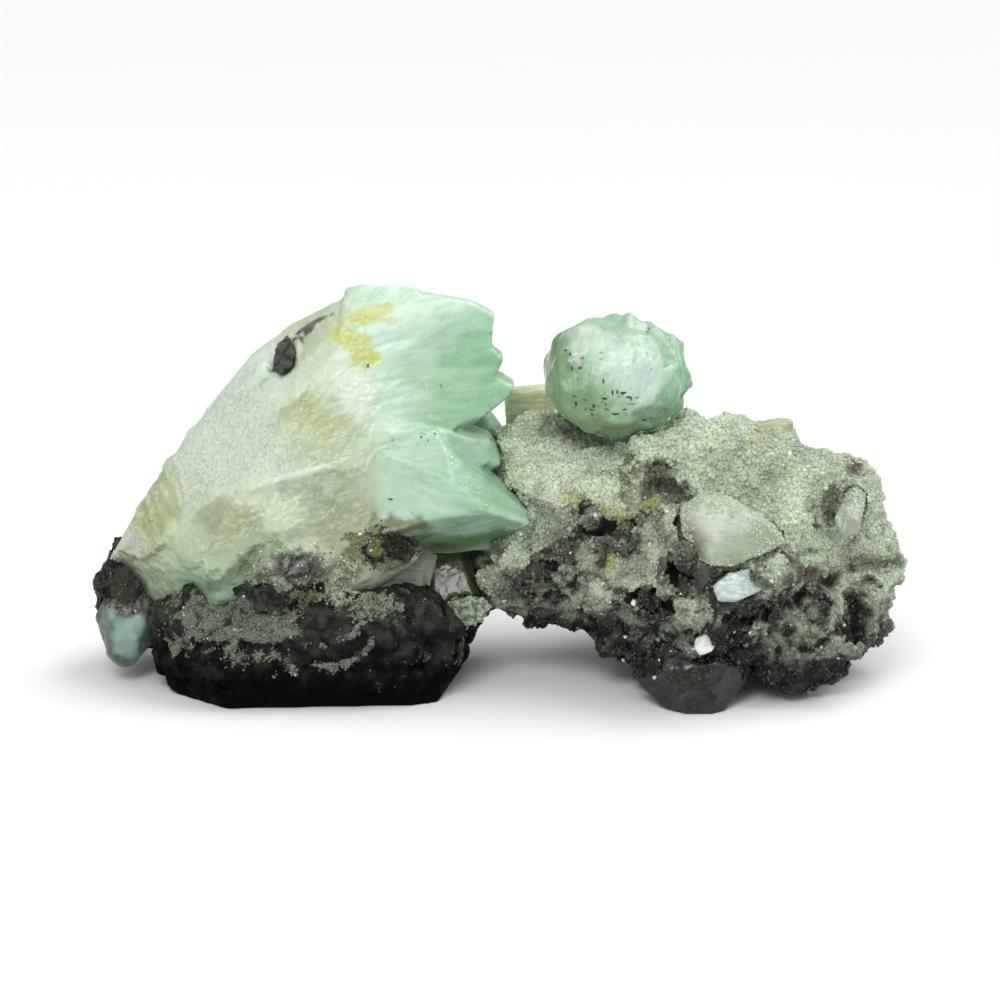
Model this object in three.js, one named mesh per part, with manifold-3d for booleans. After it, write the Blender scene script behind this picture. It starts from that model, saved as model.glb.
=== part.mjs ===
// Apophyllite specimen: a green spray of blades and a green ball on basalt and drusy matrix.
// Millimetres, +Z up, +X to the viewer's right, +Y away from the viewer.
import * as THREE from "three";
import { mergeVertices } from "three/addons/utils/BufferGeometryUtils.js";
import Module from "manifold-3d";

const wasm = await Module();
wasm.setup();

// Clearance kept between two pieces that touch.
const GAP = 0.3;
const FAR = 200;

// Basalt block: outline of its front, [x, z], and the depth it runs through.
const BLOCK_OUTLINE = [
  [-42.6, 0], [-45, 2], [-46.4, 5.4], [-46.2, 10], [-42, 14], [-34, 18], [-24, 18], [-19, 14.5],
  [-11, 14], [-6.4, 11], [-3.2, 8.8], [-2.8, 6], [-5.2, 4], [-4, 2.2], [-5.4, 0],
];
const BLOCK_FRONT = -20.5;
const BLOCK_DEPTH = 37;
const BLOCK_CHAMFER = 1;

// Spray of apophyllite: outline of the cleaved body's front, [x, z], and where the blades start.
const BODY_OUTLINE = [
  [-52.6, 14.6], [-47.2, 23.4], [-42.4, 30.2], [-38, 35.8], [-33.2, 41.6], [-29.6, 44.6],
  [-25.7, 47.4], [-21.6, 49.6], [-15, 47], [-11, 41], [-8.5, 33], [-8.5, 24], [-11, 17.5],
  [-18, 12.5], [-22, 10.5], [-30, 12.5], [-36, 11.5], [-41, 8.5], [-46, 9.2], [-49.5, 12],
];
const BODY_FRONT = -16;
const BODY_DEPTH = 31;
const BODY_BEVEL = 2;
const SPRAY_ROOT = [-23, 1, 31];

// Ball of apophyllite tips.
const BALL_CENTRE = [15.1, -3, 40.6];
const BALL_HALF = [9.9, 9.2, 8.1];
const BALL_COBBLES = 52;

// Druse: main mass and the neck that reaches to the basalt.
const MASS_CENTRE = [28, -2, 15.5];
const MASS_HALF = [21, 20, 14];
const MASS_LUMPS = 60;
const NECK_CENTRE = [6, -1, 19];
const NECK_HALF = [9, 12.5, 11.5];
const NECK_LUMPS = 22;

const COLOURS = {
  basalt_matrix: [0x25, 0x22, 0x21, 0.85],
  drusy_matrix: [0x9a, 0xa6, 0x90, 0.6],
  apophyllite_spray: [0xb4, 0xd6, 0xbc, 0.3],
  apophyllite_ball: [0x8f, 0xb5, 0x92, 0.25],
  left_end_crystal: [0x7b, 0x91, 0x81, 0.35],
  rear_crystal: [0x8d, 0xb4, 0x93, 0.35],
  tan_blade: [0xa8, 0xa8, 0x86, 0.45],
  pearly_blade: [0xd0, 0xe1, 0xce, 0.35],
  silvery_blade: [0xc3, 0xd6, 0xcd, 0.25],
  right_prism: [0xb6, 0xc6, 0xb2, 0.2],
  white_chip: [0xf0, 0xf4, 0xef, 0.3],
  top_blade: [0xb4, 0xc1, 0xa0, 0.35],
  foot_crystal: [0x46, 0x4c, 0x40, 0.3],
  notch_prism: [0x6c, 0x74, 0x5c, 0.25],
  notch_fan: [0x8c, 0x9a, 0x8a, 0.5],
  notch_druse: [0x9f, 0xb4, 0x9a, 0.6],
  olive_knot: [0x3c, 0x3d, 0x22, 0.7],
  basalt_scab: [0x2a, 0x26, 0x25, 0.9],
};

// A repeatable run of numbers between 0 and 1.
function runOf(seed) {
  let state = 7919 * seed + 17;
  return () => {
    state = (state * 16807) % 2147483647;
    return state / 2147483647;
  };
}

// The closed solid of a three.js geometry.
function solidOf(geometry) {
  const bare = geometry.clone();
  bare.deleteAttribute("normal");
  bare.deleteAttribute("uv");
  const merged = mergeVertices(bare, 1e-3);
  return new wasm.Manifold(
    new wasm.Mesh({
      numProp: 3,
      vertProperties: merged.attributes.position.array,
      triVerts: new Uint32Array(merged.index.array),
    }),
  );
}

// The three.js geometry of a solid, flat shaded.
function geometryOf(solid) {
  const mesh = solid.getMesh();
  const points = [];
  for (let i = 0; i < mesh.vertProperties.length; i += mesh.numProp) {
    points.push(mesh.vertProperties[i], mesh.vertProperties[i + 1], mesh.vertProperties[i + 2]);
  }
  const geometry = new THREE.BufferGeometry();
  geometry.setAttribute("position", new THREE.Float32BufferAttribute(points, 3));
  geometry.setIndex([...mesh.triVerts]);
  const flat = geometry.toNonIndexed();
  flat.computeVertexNormals();
  return flat;
}

function joined(solids) {
  return solids.reduce((whole, next) => whole.add(next));
}

// The largest body of a solid: what is left once the loose crumbs have gone.
function largest(solid) {
  const bodies = solid.decompose();
  return bodies.reduce((best, next) => (next.volume() > best.volume() ? next : best));
}

// Takes off whatever lies beyond the plane through a point, on the side its normal points to.
// `grow` moves the plane outwards.
function cutFlat(solid, point, normal, grow = 0) {
  const out = new THREE.Vector3(...normal).normalize();
  const box = new THREE.BoxGeometry(2 * FAR, 2 * FAR, FAR);
  box.translate(0, 0, FAR / 2);
  box.applyQuaternion(new THREE.Quaternion().setFromUnitVectors(new THREE.Vector3(0, 0, 1), out));
  box.translate(...new THREE.Vector3(...point).addScaledVector(out, grow).toArray());
  return solid.subtract(solidOf(box));
}

// Smooth unevenness over directions, about -1 to 1.
function unevenness(d, seed) {
  let sum = 0;
  for (let k = 1; k <= 4; k += 1) {
    const a = seed * 12.9 + k * 4.1;
    const along = d.x * Math.cos(a) + d.y * Math.sin(1.7 * a) + d.z * Math.cos(0.6 * a + 1);
    sum += Math.sin(2.4 * k * along + a) / k;
  }
  return sum / 2;
}

// A rough lump seen from its centre outwards: an ellipsoid, raised where round bumps [x, y, z, r]
// stand out of it and cut back by broken flats. `grain` is the height of its fine unevenness, and
// `grow` makes it larger all round for a pocket.
function lump({ at, half, seed, detail = 2, rough = 0.12, grain = 0, flats = 0, bumps = [], grow = 0 }) {
  const sphere = mergeVertices(bareSphere(detail), 1e-4);
  const next = runOf(seed);
  const broken = [];
  for (let i = 0; i < flats; i += 1) {
    broken.push({ out: randomDirection(next), reach: 0.72 + 0.2 * next() });
  }
  const position = sphere.attributes.position;
  const d = new THREE.Vector3();
  const ray = new THREE.Vector3();
  for (let i = 0; i < position.count; i += 1) {
    d.fromBufferAttribute(position, i).normalize();
    let share = 1 + rough * unevenness(d, seed);
    for (const flat of broken) {
      const c = d.dot(flat.out);
      if (c > 0.2) share = Math.min(share, flat.reach / c);
    }
    ray.set(d.x * half[0], d.y * half[1], d.z * half[2]);
    let reach = share * ray.length() + grow;
    ray.normalize();
    for (const bump of bumps) reach = Math.max(reach, bumpReach(ray, at, bump, grow));
    reach += grain * (next() - 0.5);
    position.setXYZ(i, ray.x * reach, ray.y * reach, ray.z * reach);
  }
  sphere.translate(...at);
  return solidOf(sphere);
}

// How far along a ray from `at` a round bump's far side lies, or 0 where the ray misses it.
function bumpReach(ray, at, [x, y, z, r], grow) {
  const centre = new THREE.Vector3(x - at[0], y - at[1], z - at[2]);
  const along = ray.dot(centre);
  const missed = centre.lengthSq() - along * along;
  const wide = r + grow;
  return missed < wide * wide ? along + Math.sqrt(wide * wide - missed) : 0;
}

// Round bumps spread evenly over an ellipsoid, part sunk into it.
function bumpsOver({ at, half, count, seed, least, most, sink }) {
  const next = runOf(seed);
  const bumps = [];
  for (let i = 0; i < count; i += 1) {
    const z = 1 - (2 * (i + 0.5)) / count;
    const a = i * 2.39996 + 0.8 * next();
    const r = Math.sqrt(1 - z * z);
    const out = [r * Math.cos(a), r * Math.sin(a), z];
    const size = least + (most - least) * next();
    bumps.push([...out.map((c, k) => at[k] + c * (half[k] - sink * size)), size]);
  }
  return bumps;
}

function bareSphere(detail) {
  const sphere = new THREE.IcosahedronGeometry(1, detail);
  sphere.deleteAttribute("normal");
  sphere.deleteAttribute("uv");
  return sphere;
}

function randomDirection(next) {
  const z = 2 * next() - 1;
  const a = 2 * Math.PI * next();
  const r = Math.sqrt(1 - z * z);
  return new THREE.Vector3(r * Math.cos(a), r * Math.sin(a), z);
}

// A flat-faced crystal from root to tip. Its width lies across the view unless `roll` turns it;
// `lean` moves the point towards one edge, `blunt` is the share of the width left at the end.
function crystal({
  root, tip, wide, thick, sides = 6, roll = 0, lean = 0, blunt = 0.08, shoulder = 0.72, waist = 0.7,
  flat = 1, grow = 0,
}) {
  const from = new THREE.Vector3(...root);
  const to = new THREE.Vector3(...tip);
  const axis = to.clone().sub(from).normalize();
  from.addScaledVector(axis, -grow);
  to.addScaledVector(axis, grow);
  const length = to.distanceTo(from);
  const profile = [
    new THREE.Vector2(0, 0),
    new THREE.Vector2(waist, 0),
    new THREE.Vector2(1, shoulder * length),
    new THREE.Vector2(blunt, length),
    new THREE.Vector2(0, length),
  ];
  const body = new THREE.LatheGeometry(profile, sides, Math.PI / sides);
  const position = body.attributes.position;
  const half = [wide / 2 + grow, thick / 2 + grow];
  for (let i = 0; i < position.count; i += 1) {
    const end = Math.max(0, position.getY(i) / length - shoulder) / (1 - shoulder);
    const aside = end * lean * (1 - blunt) * half[0];
    const x = THREE.MathUtils.clamp(flat * position.getX(i), -1, 1);
    position.setX(i, x * half[0] + aside);
    position.setZ(i, position.getZ(i) * half[1]);
  }
  const across = new THREE.Vector3(0, 1, 0).cross(axis).normalize();
  const deep = across.clone().cross(axis).normalize();
  body.rotateY(roll);
  body.applyMatrix4(new THREE.Matrix4().makeBasis(across, axis, deep));
  body.translate(from.x, from.y, from.z);
  return solidOf(body);
}

// A slab with the given front outline, chamfered all round.
function slab(outline, front, depth, bevel, grow = 0) {
  const shape = new THREE.Shape(outline.map(([x, z]) => new THREE.Vector2(x, z)));
  const geometry = new THREE.ExtrudeGeometry(shape, {
    depth: depth - 2 * bevel + 2 * grow,
    bevelEnabled: true,
    bevelThickness: bevel,
    bevelSize: bevel + grow,
    bevelOffset: -bevel,
    bevelSegments: 1,
    steps: 1,
  });
  geometry.rotateX(Math.PI / 2);
  geometry.translate(0, front + depth - bevel + grow, 0);
  return solidOf(geometry);
}

// The right side of the spray is three groups of flat blades. Each group is a front outline, [x, z],
// repeated in layers one behind the other, which are sized and turned about the spray's root, and then
// cut by flats, each a point on it and the way it faces.
const FAN_FACE = [[-12, -6.2, 39], [0.25, -0.92, 0.36]];
const UPPER_FAN = {
  outline: [
    [-20.2, 51.4], [-18.2, 51.9], [-16.7, 52.7], [-11.7, 52.5], [-10.4, 50.6], [-7.8, 50.2],
    [-3.9, 49.5], [-2.6, 48.9], [-0.9, 48], [-1.3, 44.6], [-1.2, 43.6], [0.4, 42.4], [-0.9, 41],
    [-0.8, 40.1], [2, 38.9], [-6, 32.9], [-10.6, 31.2], [-16, 31], [-22, 38],
  ],
  layers: [
    { front: -9, depth: 6, size: 0.91, turn: 0.02 },
    { front: -5.4, depth: 6, size: 0.96, turn: -0.03 },
    { front: -3.4, depth: 6.4, size: 1, turn: 0 },
    { front: 1.6, depth: 5, size: 0.91, turn: 0.03 },
  ],
  bevel: 0.7,
  flats: [
    [[-25, -14.3, 20], [0.06, -0.93, 0.36]],
    FAN_FACE,
    [[-12, -3.6, 47], [0.1, -0.75, 0.65]],
    [[-14, 0.4, 51.9], [0, 0.5, 0.87]],
    [[-2, 4, 42], [0.6, 0.8, 0]],
  ],
};
const MIDDLE_TOOTH = {
  outline: [
    [-9.6, 35], [-5.2, 33.5], [-1.6, 32.2], [-0.7, 30.5], [0, 29.2], [-2.6, 27.6], [-6.6, 26.6],
    [-12, 27], [-16, 30], [-14, 34.6],
  ],
  layers: [
    { front: -8.6, depth: 4, size: 0.93, turn: 0.02 },
    { front: -6, depth: 7, size: 1, turn: 0 },
  ],
  bevel: 0.6,
  flats: [
    [[-5, -7.4, 31], [0.3, -0.9, 0.25]],
  ],
};
const LOWER_BLADE = {
  outline: [
    [-15.8, 31.6], [-8.5, 34.4], [-7.8, 33.5], [-4.9, 30.6], [-2.6, 28.8], [0, 26.6], [5, 22.6],
    [2.2, 20.3], [-0.6, 18.6], [-6.6, 17.9], [-11.5, 18.3], [-14.1, 19.4], [-17, 22], [-18, 27],
  ],
  layers: [
    { front: -14.4, depth: 12.4, size: 1, turn: 0 },
  ],
  bevel: 0.8,
  flats: [
    [[-5, -11.4, 21.4], [0.1, -0.75, -0.66]],
    [[-2.4, -12.2, 27.4], [0.56, -0.5, 0.66]],
    [[-10.8, -13.4, 27], [-0.3, -0.95, 0.22]],
    [[-12, -12.6, 30.4], [-0.05, -0.7, 0.7]],
    [[-2, -4, 23], [0.5, 0.8, -0.2]],
  ],
};

// The outline turned and sized about the spray's root.
function aboutRoot(outline, size, turn) {
  return outline.map(([x, z]) => {
    const right = size * (x - SPRAY_ROOT[0]);
    const up = size * (z - SPRAY_ROOT[2]);
    return [
      SPRAY_ROOT[0] + right * Math.cos(turn) - up * Math.sin(turn),
      SPRAY_ROOT[2] + right * Math.sin(turn) + up * Math.cos(turn),
    ];
  });
}

function bladeGroup({ outline, layers, bevel, flats }, grow) {
  let group = joined(layers.map(({ front, depth, size, turn }) => {
    return slab(aboutRoot(outline, size, turn), front, depth, bevel, grow);
  }));
  for (const [point, normal] of flats) group = cutFlat(group, point, normal, grow);
  return group;
}

// Blades hidden from the front fill the back of the fan.
const BACK_BLADES = 8;

function backBlades(grow) {
  const blades = [];
  for (let i = 0; i < BACK_BLADES; i += 1) {
    const angle = 1.5 - (2.1 * i) / (BACK_BLADES - 1);
    const reach = 18 + 3 * Math.sin(2.3 * i);
    const tip = [
      SPRAY_ROOT[0] + reach * Math.cos(angle),
      8 + 2.5 * Math.sin(1.7 * i),
      SPRAY_ROOT[2] + 0.8 * reach * Math.sin(angle),
    ];
    const lean = Math.sin(3.1 * i);
    blades.push(crystal({ root: SPRAY_ROOT, tip, wide: 10, thick: 10, lean, blunt: 0.2, flat: 1.6, grow }));
  }
  return blades;
}

// Reach of the plates whose edges stand out like a comb along the upper left rim, from the crown down.
const RIM_REACHES = [15, 14.2, 14, 13.8, 14.2, 14.8, 16.6, 18.8, 22.2, 27.2];

function rimPlates(grow) {
  return RIM_REACHES.map((reach, i) => {
    const angle = 1.86 + 0.185 * i;
    const tip = [SPRAY_ROOT[0] + reach * Math.cos(angle), 0.5, SPRAY_ROOT[2] + reach * Math.sin(angle)];
    const wide = 2.6 + 0.16 * i;
    const thick = 13 - 0.5 * i;
    return crystal({ root: SPRAY_ROOT, tip, wide, thick, sides: 4, blunt: 0.8, shoulder: 0.96, grow });
  });
}

// Flats of the cleaved body, each a point on it and the way it faces.
const BODY_FLATS = [
  [[-25, -14.5, 20], [0.06, -0.93, 0.36]],
  FAN_FACE,
  [[-33, -11.3, 28.5], [-0.45, -0.7, 0.62]],
  [[-24, -6.5, 42], [-0.12, -0.72, 0.68]],
  [[-46, -8, 14], [-0.62, -0.74, -0.2]],
  [[-12, -11, 20], [0.35, -0.9, -0.2]],
  [[-25, 12.5, 30], [0, 0.9, 0.44]],
  [[-42, 8, 22], [-0.6, 0.75, 0.3]],
  [[-24, 5, 46], [-0.3, 0.5, 0.8]],
];

function sprayBody(grow) {
  let body = slab(BODY_OUTLINE, BODY_FRONT, BODY_DEPTH, BODY_BEVEL, grow);
  for (const [point, normal] of BODY_FLATS) body = cutFlat(body, point, normal, grow);
  return body;
}

function apophylliteSpray(grow = 0) {
  const groups = [UPPER_FAN, MIDDLE_TOOTH, LOWER_BLADE].map((group) => bladeGroup(group, grow));
  return joined([sprayBody(grow), ...groups, ...backBlades(grow), ...rimPlates(grow)]);
}

// The ball is one round cluster of blunt tips, seen as cobbles.
function apophylliteBall(grow = 0) {
  const cobbles = bumpsOver({
    at: BALL_CENTRE, half: BALL_HALF, count: BALL_COBBLES, seed: 11, least: 1.6, most: 2.4, sink: 0.72,
  });
  const half = BALL_HALF.map((h) => 0.94 * h);
  return lump({ at: BALL_CENTRE, half, seed: 5, detail: 5, rough: 0.03, bumps: cobbles, grow });
}

// Bumps that shape the outline of the druse: centre and radius.
const MASS_RIM = [
  [18.5, 2, 28.6, 5], [25.5, 3, 29.8, 5], [31, 3, 29.6, 5], [36, 3, 28.2, 4.8], [40.6, 2, 26, 4.2],
  [44.4, 1, 26, 4], [47, 0.5, 27, 2.6], [48.8, 0, 24, 3.6], [49.4, -1, 20.6, 3.4], [50.4, -1, 17, 4],
  [51.4, -2, 13.4, 4.1], [49.4, -2, 10.8, 3.6], [50, -3, 7, 3.6], [45.4, -6, 4.8, 4.4],
  [41, -13.5, 4.2, 4.8], [36.5, -15, 4.2, 4.6], [30.5, -15, 8.8, 5],
  [25.5, -15.2, 9.4, 5], [21, -12, 6, 5], [15.4, -10, 7.4, 4.6],
];
// Bumps behind the middle that the druse rests on.
const MASS_FEET = [[32, 9, 5, 5.6], [24, 7, 5.4, 5]];
const MASS_BRIDGE = [[12.6, -5.2, 26.8, 4.7], [13, 2, 26.6, 5]];
const NECK_RIM = [
  [1, 2, 28.4, 4.6], [4.6, 2, 30.4, 4.6], [9.5, 2, 30, 4.8], [0.4, -5, 12.6, 4.6], [5, -6, 11, 4.8],
  [10, -7, 10.4, 5], [1.5, -6, 21.5, 5], [3.5, -9, 16.4, 5], [-4.5, 3, 15, 5], [-3, -2.5, 12.4, 4.2],
  [-4.5, 5, 21, 5],
];

// Hollows in the druse: centre and half sizes.
const DRUSE_PITS = [
  [[12.4, -12.6, 22], [3, 2.4, 1.4]],
  [[5.6, -14, 14.2], [3, 2.4, 1.8]],
  [[20.6, -12.8, 27.4], [2.8, 2.6, 2]],
  [[22.4, -20.6, 19.4], [1.8, 2.6, 2.6]],
  [[33, -21.4, 12.4], [4.6, 2.6, 1.4]],
  [[44.8, -12.8, 24], [1.6, 2.2, 2.8]],
];

// A rim bump with two more before and behind it, drawn in towards the middle.
function throughDepth([x, y, z, r]) {
  if (y < -8) return [[x, y, z, r]];
  const more = [-8, 8].map((dy) => [
    x - 0.12 * (x - MASS_CENTRE[0]),
    y + dy,
    z - 0.12 * (z - MASS_CENTRE[2]) - 0.27 * dy,
    r + 0.6,
  ]);
  return [[x, y, z, r], ...more];
}

function drusyLumps() {
  const mass = bumpsOver({
    at: MASS_CENTRE, half: MASS_HALF, count: MASS_LUMPS, seed: 31, least: 3, most: 5.4, sink: 0.72,
  });
  const neck = bumpsOver({
    at: NECK_CENTRE, half: NECK_HALF, count: NECK_LUMPS, seed: 33, least: 3, most: 4.6, sink: 0.72,
  });
  const whole = joined([
    lump({
      at: MASS_CENTRE, half: MASS_HALF.map((h) => 0.94 * h), seed: 2, detail: 8, rough: 0.06, grain: 0.9,
      bumps: [...mass, ...MASS_FEET, ...MASS_BRIDGE, ...MASS_RIM.flatMap(throughDepth)],
    }),
    lump({
      at: NECK_CENTRE, half: NECK_HALF.map((h) => 0.94 * h), seed: 7, detail: 6, rough: 0.06, grain: 0.9,
      bumps: [...neck, ...NECK_RIM],
    }),
  ]);
  return DRUSE_PITS.reduce((druse, [at, half], i) => {
    return druse.subtract(lump({ at, half, seed: 70 + i, detail: 1, rough: 0.25 }));
  }, whole);
}

// Broken flats of the basalt block, each a point on it and the way it faces.
const BLOCK_FLATS = [
  [[-25, -19.6, 3], [0.05, -0.97, -0.22]],
  [[-25, -19, 8], [-0.03, -0.83, 0.56]],
  [[-42, -15, 5], [-0.62, -0.77, -0.12]],
  [[-9, -16.6, 5], [0.42, -0.9, 0.12]],
  [[-20, 15.5, 8], [0.1, 0.95, -0.28]],
  [[-40, 11, 8], [-0.7, 0.7, 0.1]],
  [[-7, 9, 6], [0.72, 0.68, -0.12]],
  [[-3.4, -4, 6], [0.94, -0.2, -0.3]],
];

// Rough lumps on the block: the dark horn at the far left, the rise behind the spray, and the
// ledges along the front.
const BLOCK_LUMPS = [
  { at: [-49.5, -1, 10], half: [5.4, 8, 8.4], seed: 3, detail: 3, rough: 0.16, flats: 4 },
  { at: [-28, 8, 16], half: [20, 9, 18], seed: 4, detail: 4, rough: 0.12, flats: 8 },
  { at: [-30, -11.5, 14.5], half: [9, 5, 5], seed: 12, detail: 3, rough: 0.22 },
  { at: [-14, -9.6, 8.4], half: [8.4, 7.5, 6], seed: 14, detail: 3, rough: 0.18 },
  { at: [-7, -7, 7.4], half: [3.4, 5, 4.2], seed: 15, detail: 2, rough: 0.2 },
  { at: [-39.6, -9.6, 9], half: [6.2, 7.6, 5.6], seed: 16, detail: 3, rough: 0.2 },
  { at: [-32, -15.2, 8.4], half: [9.5, 4.4, 4.8], seed: 18, detail: 4, rough: 0.2 },
  { at: [-19, -15.6, 8.2], half: [8.5, 4.6, 4.6], seed: 19, detail: 4, rough: 0.2 },
];

function basaltRock(grow = 0) {
  let block = slab(BLOCK_OUTLINE, BLOCK_FRONT, BLOCK_DEPTH, BLOCK_CHAMFER, grow);
  for (const [point, normal] of BLOCK_FLATS) block = cutFlat(block, point, normal, grow);
  const lumps = BLOCK_LUMPS.map((row) => lump({ ...row, grow }));
  const pit = lump({ at: [-30.4, -18, 13.6], half: [1.9, 1.8, 1.5], seed: 22, detail: 1, rough: 0.2 });
  const crevice = crystal({
    root: [-26, -20.4, 6.4], tip: [-16.4, -20.4, 9.6], wide: 1.9, thick: 4, waist: 0.2, shoulder: 0.5,
  });
  return aboveGround(joined([block, ...lumps])).subtract(pit).subtract(crevice);
}

// The single crystals that stand in pockets of the matrix.
const SINGLE = {
  left_end_crystal: {
    root: [-48.4, -3.5, 12.2], tip: [-50.4, -9.6, 2.8], wide: 9.8, thick: 9, blunt: 0.3, shoulder: 0.5,
  },
  rear_crystal: { root: [-2.4, 6, 24], tip: [-2.8, 5, 34], wide: 6.6, thick: 6.4, blunt: 0.45 },
  tan_blade: {
    root: [4.6, 9, 26], tip: [4, 9, 36.4], wide: 7, thick: 3, blunt: 0.85, shoulder: 0.9, flat: 1.6,
  },
  silvery_blade: {
    root: [37, -18, 18.6], tip: [27.4, -22.8, 16.8], wide: 4.6, thick: 3, roll: 0.4, sides: 4, blunt: 0.6,
    shoulder: 0.8,
  },
  right_prism: {
    root: [46.4, -10.4, 26.4], tip: [44, -16.4, 22.6], wide: 3.6, thick: 3, blunt: 0.25, shoulder: 0.75,
  },
  white_chip: {
    root: [28.4, -17, 10.8], tip: [25.4, -22.2, 9], wide: 2.8, thick: 2, sides: 4, blunt: 0.6, shoulder: 0.8,
  },
  top_blade: {
    root: [36.5, 2.5, 26], tip: [35, -1.6, 33.4], wide: 8, thick: 3.4, blunt: 0.7, shoulder: 0.8, flat: 1.6,
  },
  foot_crystal: {
    root: [24.8, -13, 9], tip: [25.7, -21.6, -2.4], wide: 15.4, thick: 8, blunt: 0.16, shoulder: 0.46,
  },
  notch_prism: {
    root: [-8, -3, 19], tip: [-5.6, -8.6, 10], wide: 6.4, thick: 4, blunt: 0.8, shoulder: 0.9, flat: 1.6,
  },
  notch_fan: {
    root: [-12, -6, 18], tip: [-14.4, -12.4, 10.6], wide: 8, thick: 2.4, blunt: 0.8, shoulder: 0.9, flat: 1.6,
  },
};

// Pearly blade: a wedge of one layer that leans out of the druse, its broken side to the left.
const PEARLY_BLADE = {
  outline: [
    [23.2, 26], [25.6, 27.7], [29, 27.4], [33.6, 24.8], [36, 22.4], [33.4, 21.2], [29.3, 20.2],
    [25.3, 20.6], [23.4, 23.6],
  ],
  layers: [{ front: -23, depth: 8, size: 1, turn: 0 }],
  bevel: 0.4,
  flats: [
    [[27, -21.2, 24], [-0.12, -0.88, 0.46]],
    [[24.2, -20.6, 24], [-0.82, -0.5, -0.28]],
    [[34, -19.6, 23], [0.3, -0.9, 0.3]],
  ],
};

function pearlyBlade(grow = 0) {
  return bladeGroup(PEARLY_BLADE, grow);
}

function single(name, grow = 0) {
  return crystal({ ...SINGLE[name], grow });
}

function notchDruse(grow = 0) {
  return lump({ at: [-4.6, -9.6, 10.2], half: [3.4, 2.4, 2], seed: 41, detail: 1, rough: 0.2, grow });
}

function oliveKnot(grow = 0) {
  return lump({ at: [-14.6, -13.6, 19.4], half: [3.4, 2.2, 2.6], seed: 43, detail: 1, rough: 0.25, grow });
}

function basaltScab(grow = 0) {
  return lump({ at: [-28.4, -3, 43.2], half: [1.7, 1.6, 3], seed: 45, detail: 1, rough: 0.25, grow });
}

function named(name, solid) {
  const [r, g, b, roughness] = COLOURS[name];
  const material = new THREE.MeshStandardMaterial({
    color: new THREE.Color().setRGB(r / 255, g / 255, b / 255, THREE.SRGBColorSpace),
    roughness,
    metalness: 0,
    flatShading: true,
  });
  const mesh = new THREE.Mesh(geometryOf(largest(solid)), material);
  mesh.name = name;
  return mesh;
}

// What lies over the ground.
function aboveGround(solid) {
  return cutFlat(solid, [0, 0, 0], [0, 0, -1]);
}

function specimen() {
  const singles = Object.keys(SINGLE);
  const pockets = joined([
    apophylliteSpray(GAP),
    apophylliteBall(GAP),
    notchDruse(GAP),
    oliveKnot(GAP),
    pearlyBlade(GAP),
    ...singles.map((name) => single(name, GAP)),
  ]);
  const druse = aboveGround(drusyLumps()).subtract(basaltRock(GAP));
  const group = new THREE.Group();
  group.add(named("basalt_matrix", basaltRock().subtract(pockets)));
  group.add(named("drusy_matrix", druse.subtract(pockets)));
  const spray = apophylliteSpray().subtract(basaltScab(GAP)).subtract(oliveKnot(GAP));
  group.add(named("apophyllite_spray", spray));
  group.add(named("apophyllite_ball", apophylliteBall()));
  const nearer = joined([apophylliteSpray(GAP), notchDruse(GAP)]);
  for (const name of singles) group.add(named(name, aboveGround(single(name)).subtract(nearer)));
  group.add(named("pearly_blade", pearlyBlade()));
  group.add(named("notch_druse", notchDruse()));
  group.add(named("olive_knot", oliveKnot()));
  group.add(named("basalt_scab", basaltScab()));
  return centred(group);
}

// Brings the middle of the footprint to the origin, with the ground at zero height.
function centred(group) {
  const box = new THREE.Box3().setFromObject(group);
  const middle = box.getCenter(new THREE.Vector3());
  for (const mesh of group.children) mesh.geometry.translate(-middle.x, -middle.y, -box.min.z);
  return group;
}

export default specimen();
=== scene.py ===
"""Apophyllite specimen: a green spray and a green ball of crystals on basalt and drusy matrix.

The scene is in metres, +Z up and +X to the viewer's right. Sizes written here are millimetres.
"""

import logging
import math
from collections.abc import Sequence
from dataclasses import dataclass, field
from enum import Enum

import bpy
import numpy as np
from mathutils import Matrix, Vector, kdtree, noise


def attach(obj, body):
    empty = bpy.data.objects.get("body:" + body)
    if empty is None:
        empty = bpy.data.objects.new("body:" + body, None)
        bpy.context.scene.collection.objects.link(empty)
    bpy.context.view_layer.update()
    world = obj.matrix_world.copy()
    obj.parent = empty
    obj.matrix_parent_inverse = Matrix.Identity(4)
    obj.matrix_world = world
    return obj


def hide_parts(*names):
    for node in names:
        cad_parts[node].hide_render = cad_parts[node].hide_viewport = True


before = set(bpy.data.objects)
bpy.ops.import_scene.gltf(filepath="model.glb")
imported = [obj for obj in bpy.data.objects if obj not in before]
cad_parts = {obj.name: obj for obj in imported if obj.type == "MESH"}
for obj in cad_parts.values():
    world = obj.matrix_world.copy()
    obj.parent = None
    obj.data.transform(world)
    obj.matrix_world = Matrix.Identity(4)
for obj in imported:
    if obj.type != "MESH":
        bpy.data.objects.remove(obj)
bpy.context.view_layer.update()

MM = 0.001
LOG = logging.getLogger("specimen")
Triple = tuple[float, float, float]
Colour = tuple[float, float, float]
Socket = bpy.types.NodeSocket


def linear(red: float, green: float, blue: float) -> Colour:
    """Turns a colour as seen, 0 to 255, into light values."""
    return tuple(((c / 255 + 0.055) / 1.055) ** 2.4 if c > 10 else c / 3294 for c in (red, green, blue))


def smooth_step(value: np.ndarray, low: float, high: float) -> np.ndarray:
    """Goes smoothly from 0 at `low` to 1 at `high`."""
    share = np.clip((value - low) / (high - low), 0.0, 1.0)
    return share * share * (3.0 - 2.0 * share)


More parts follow.
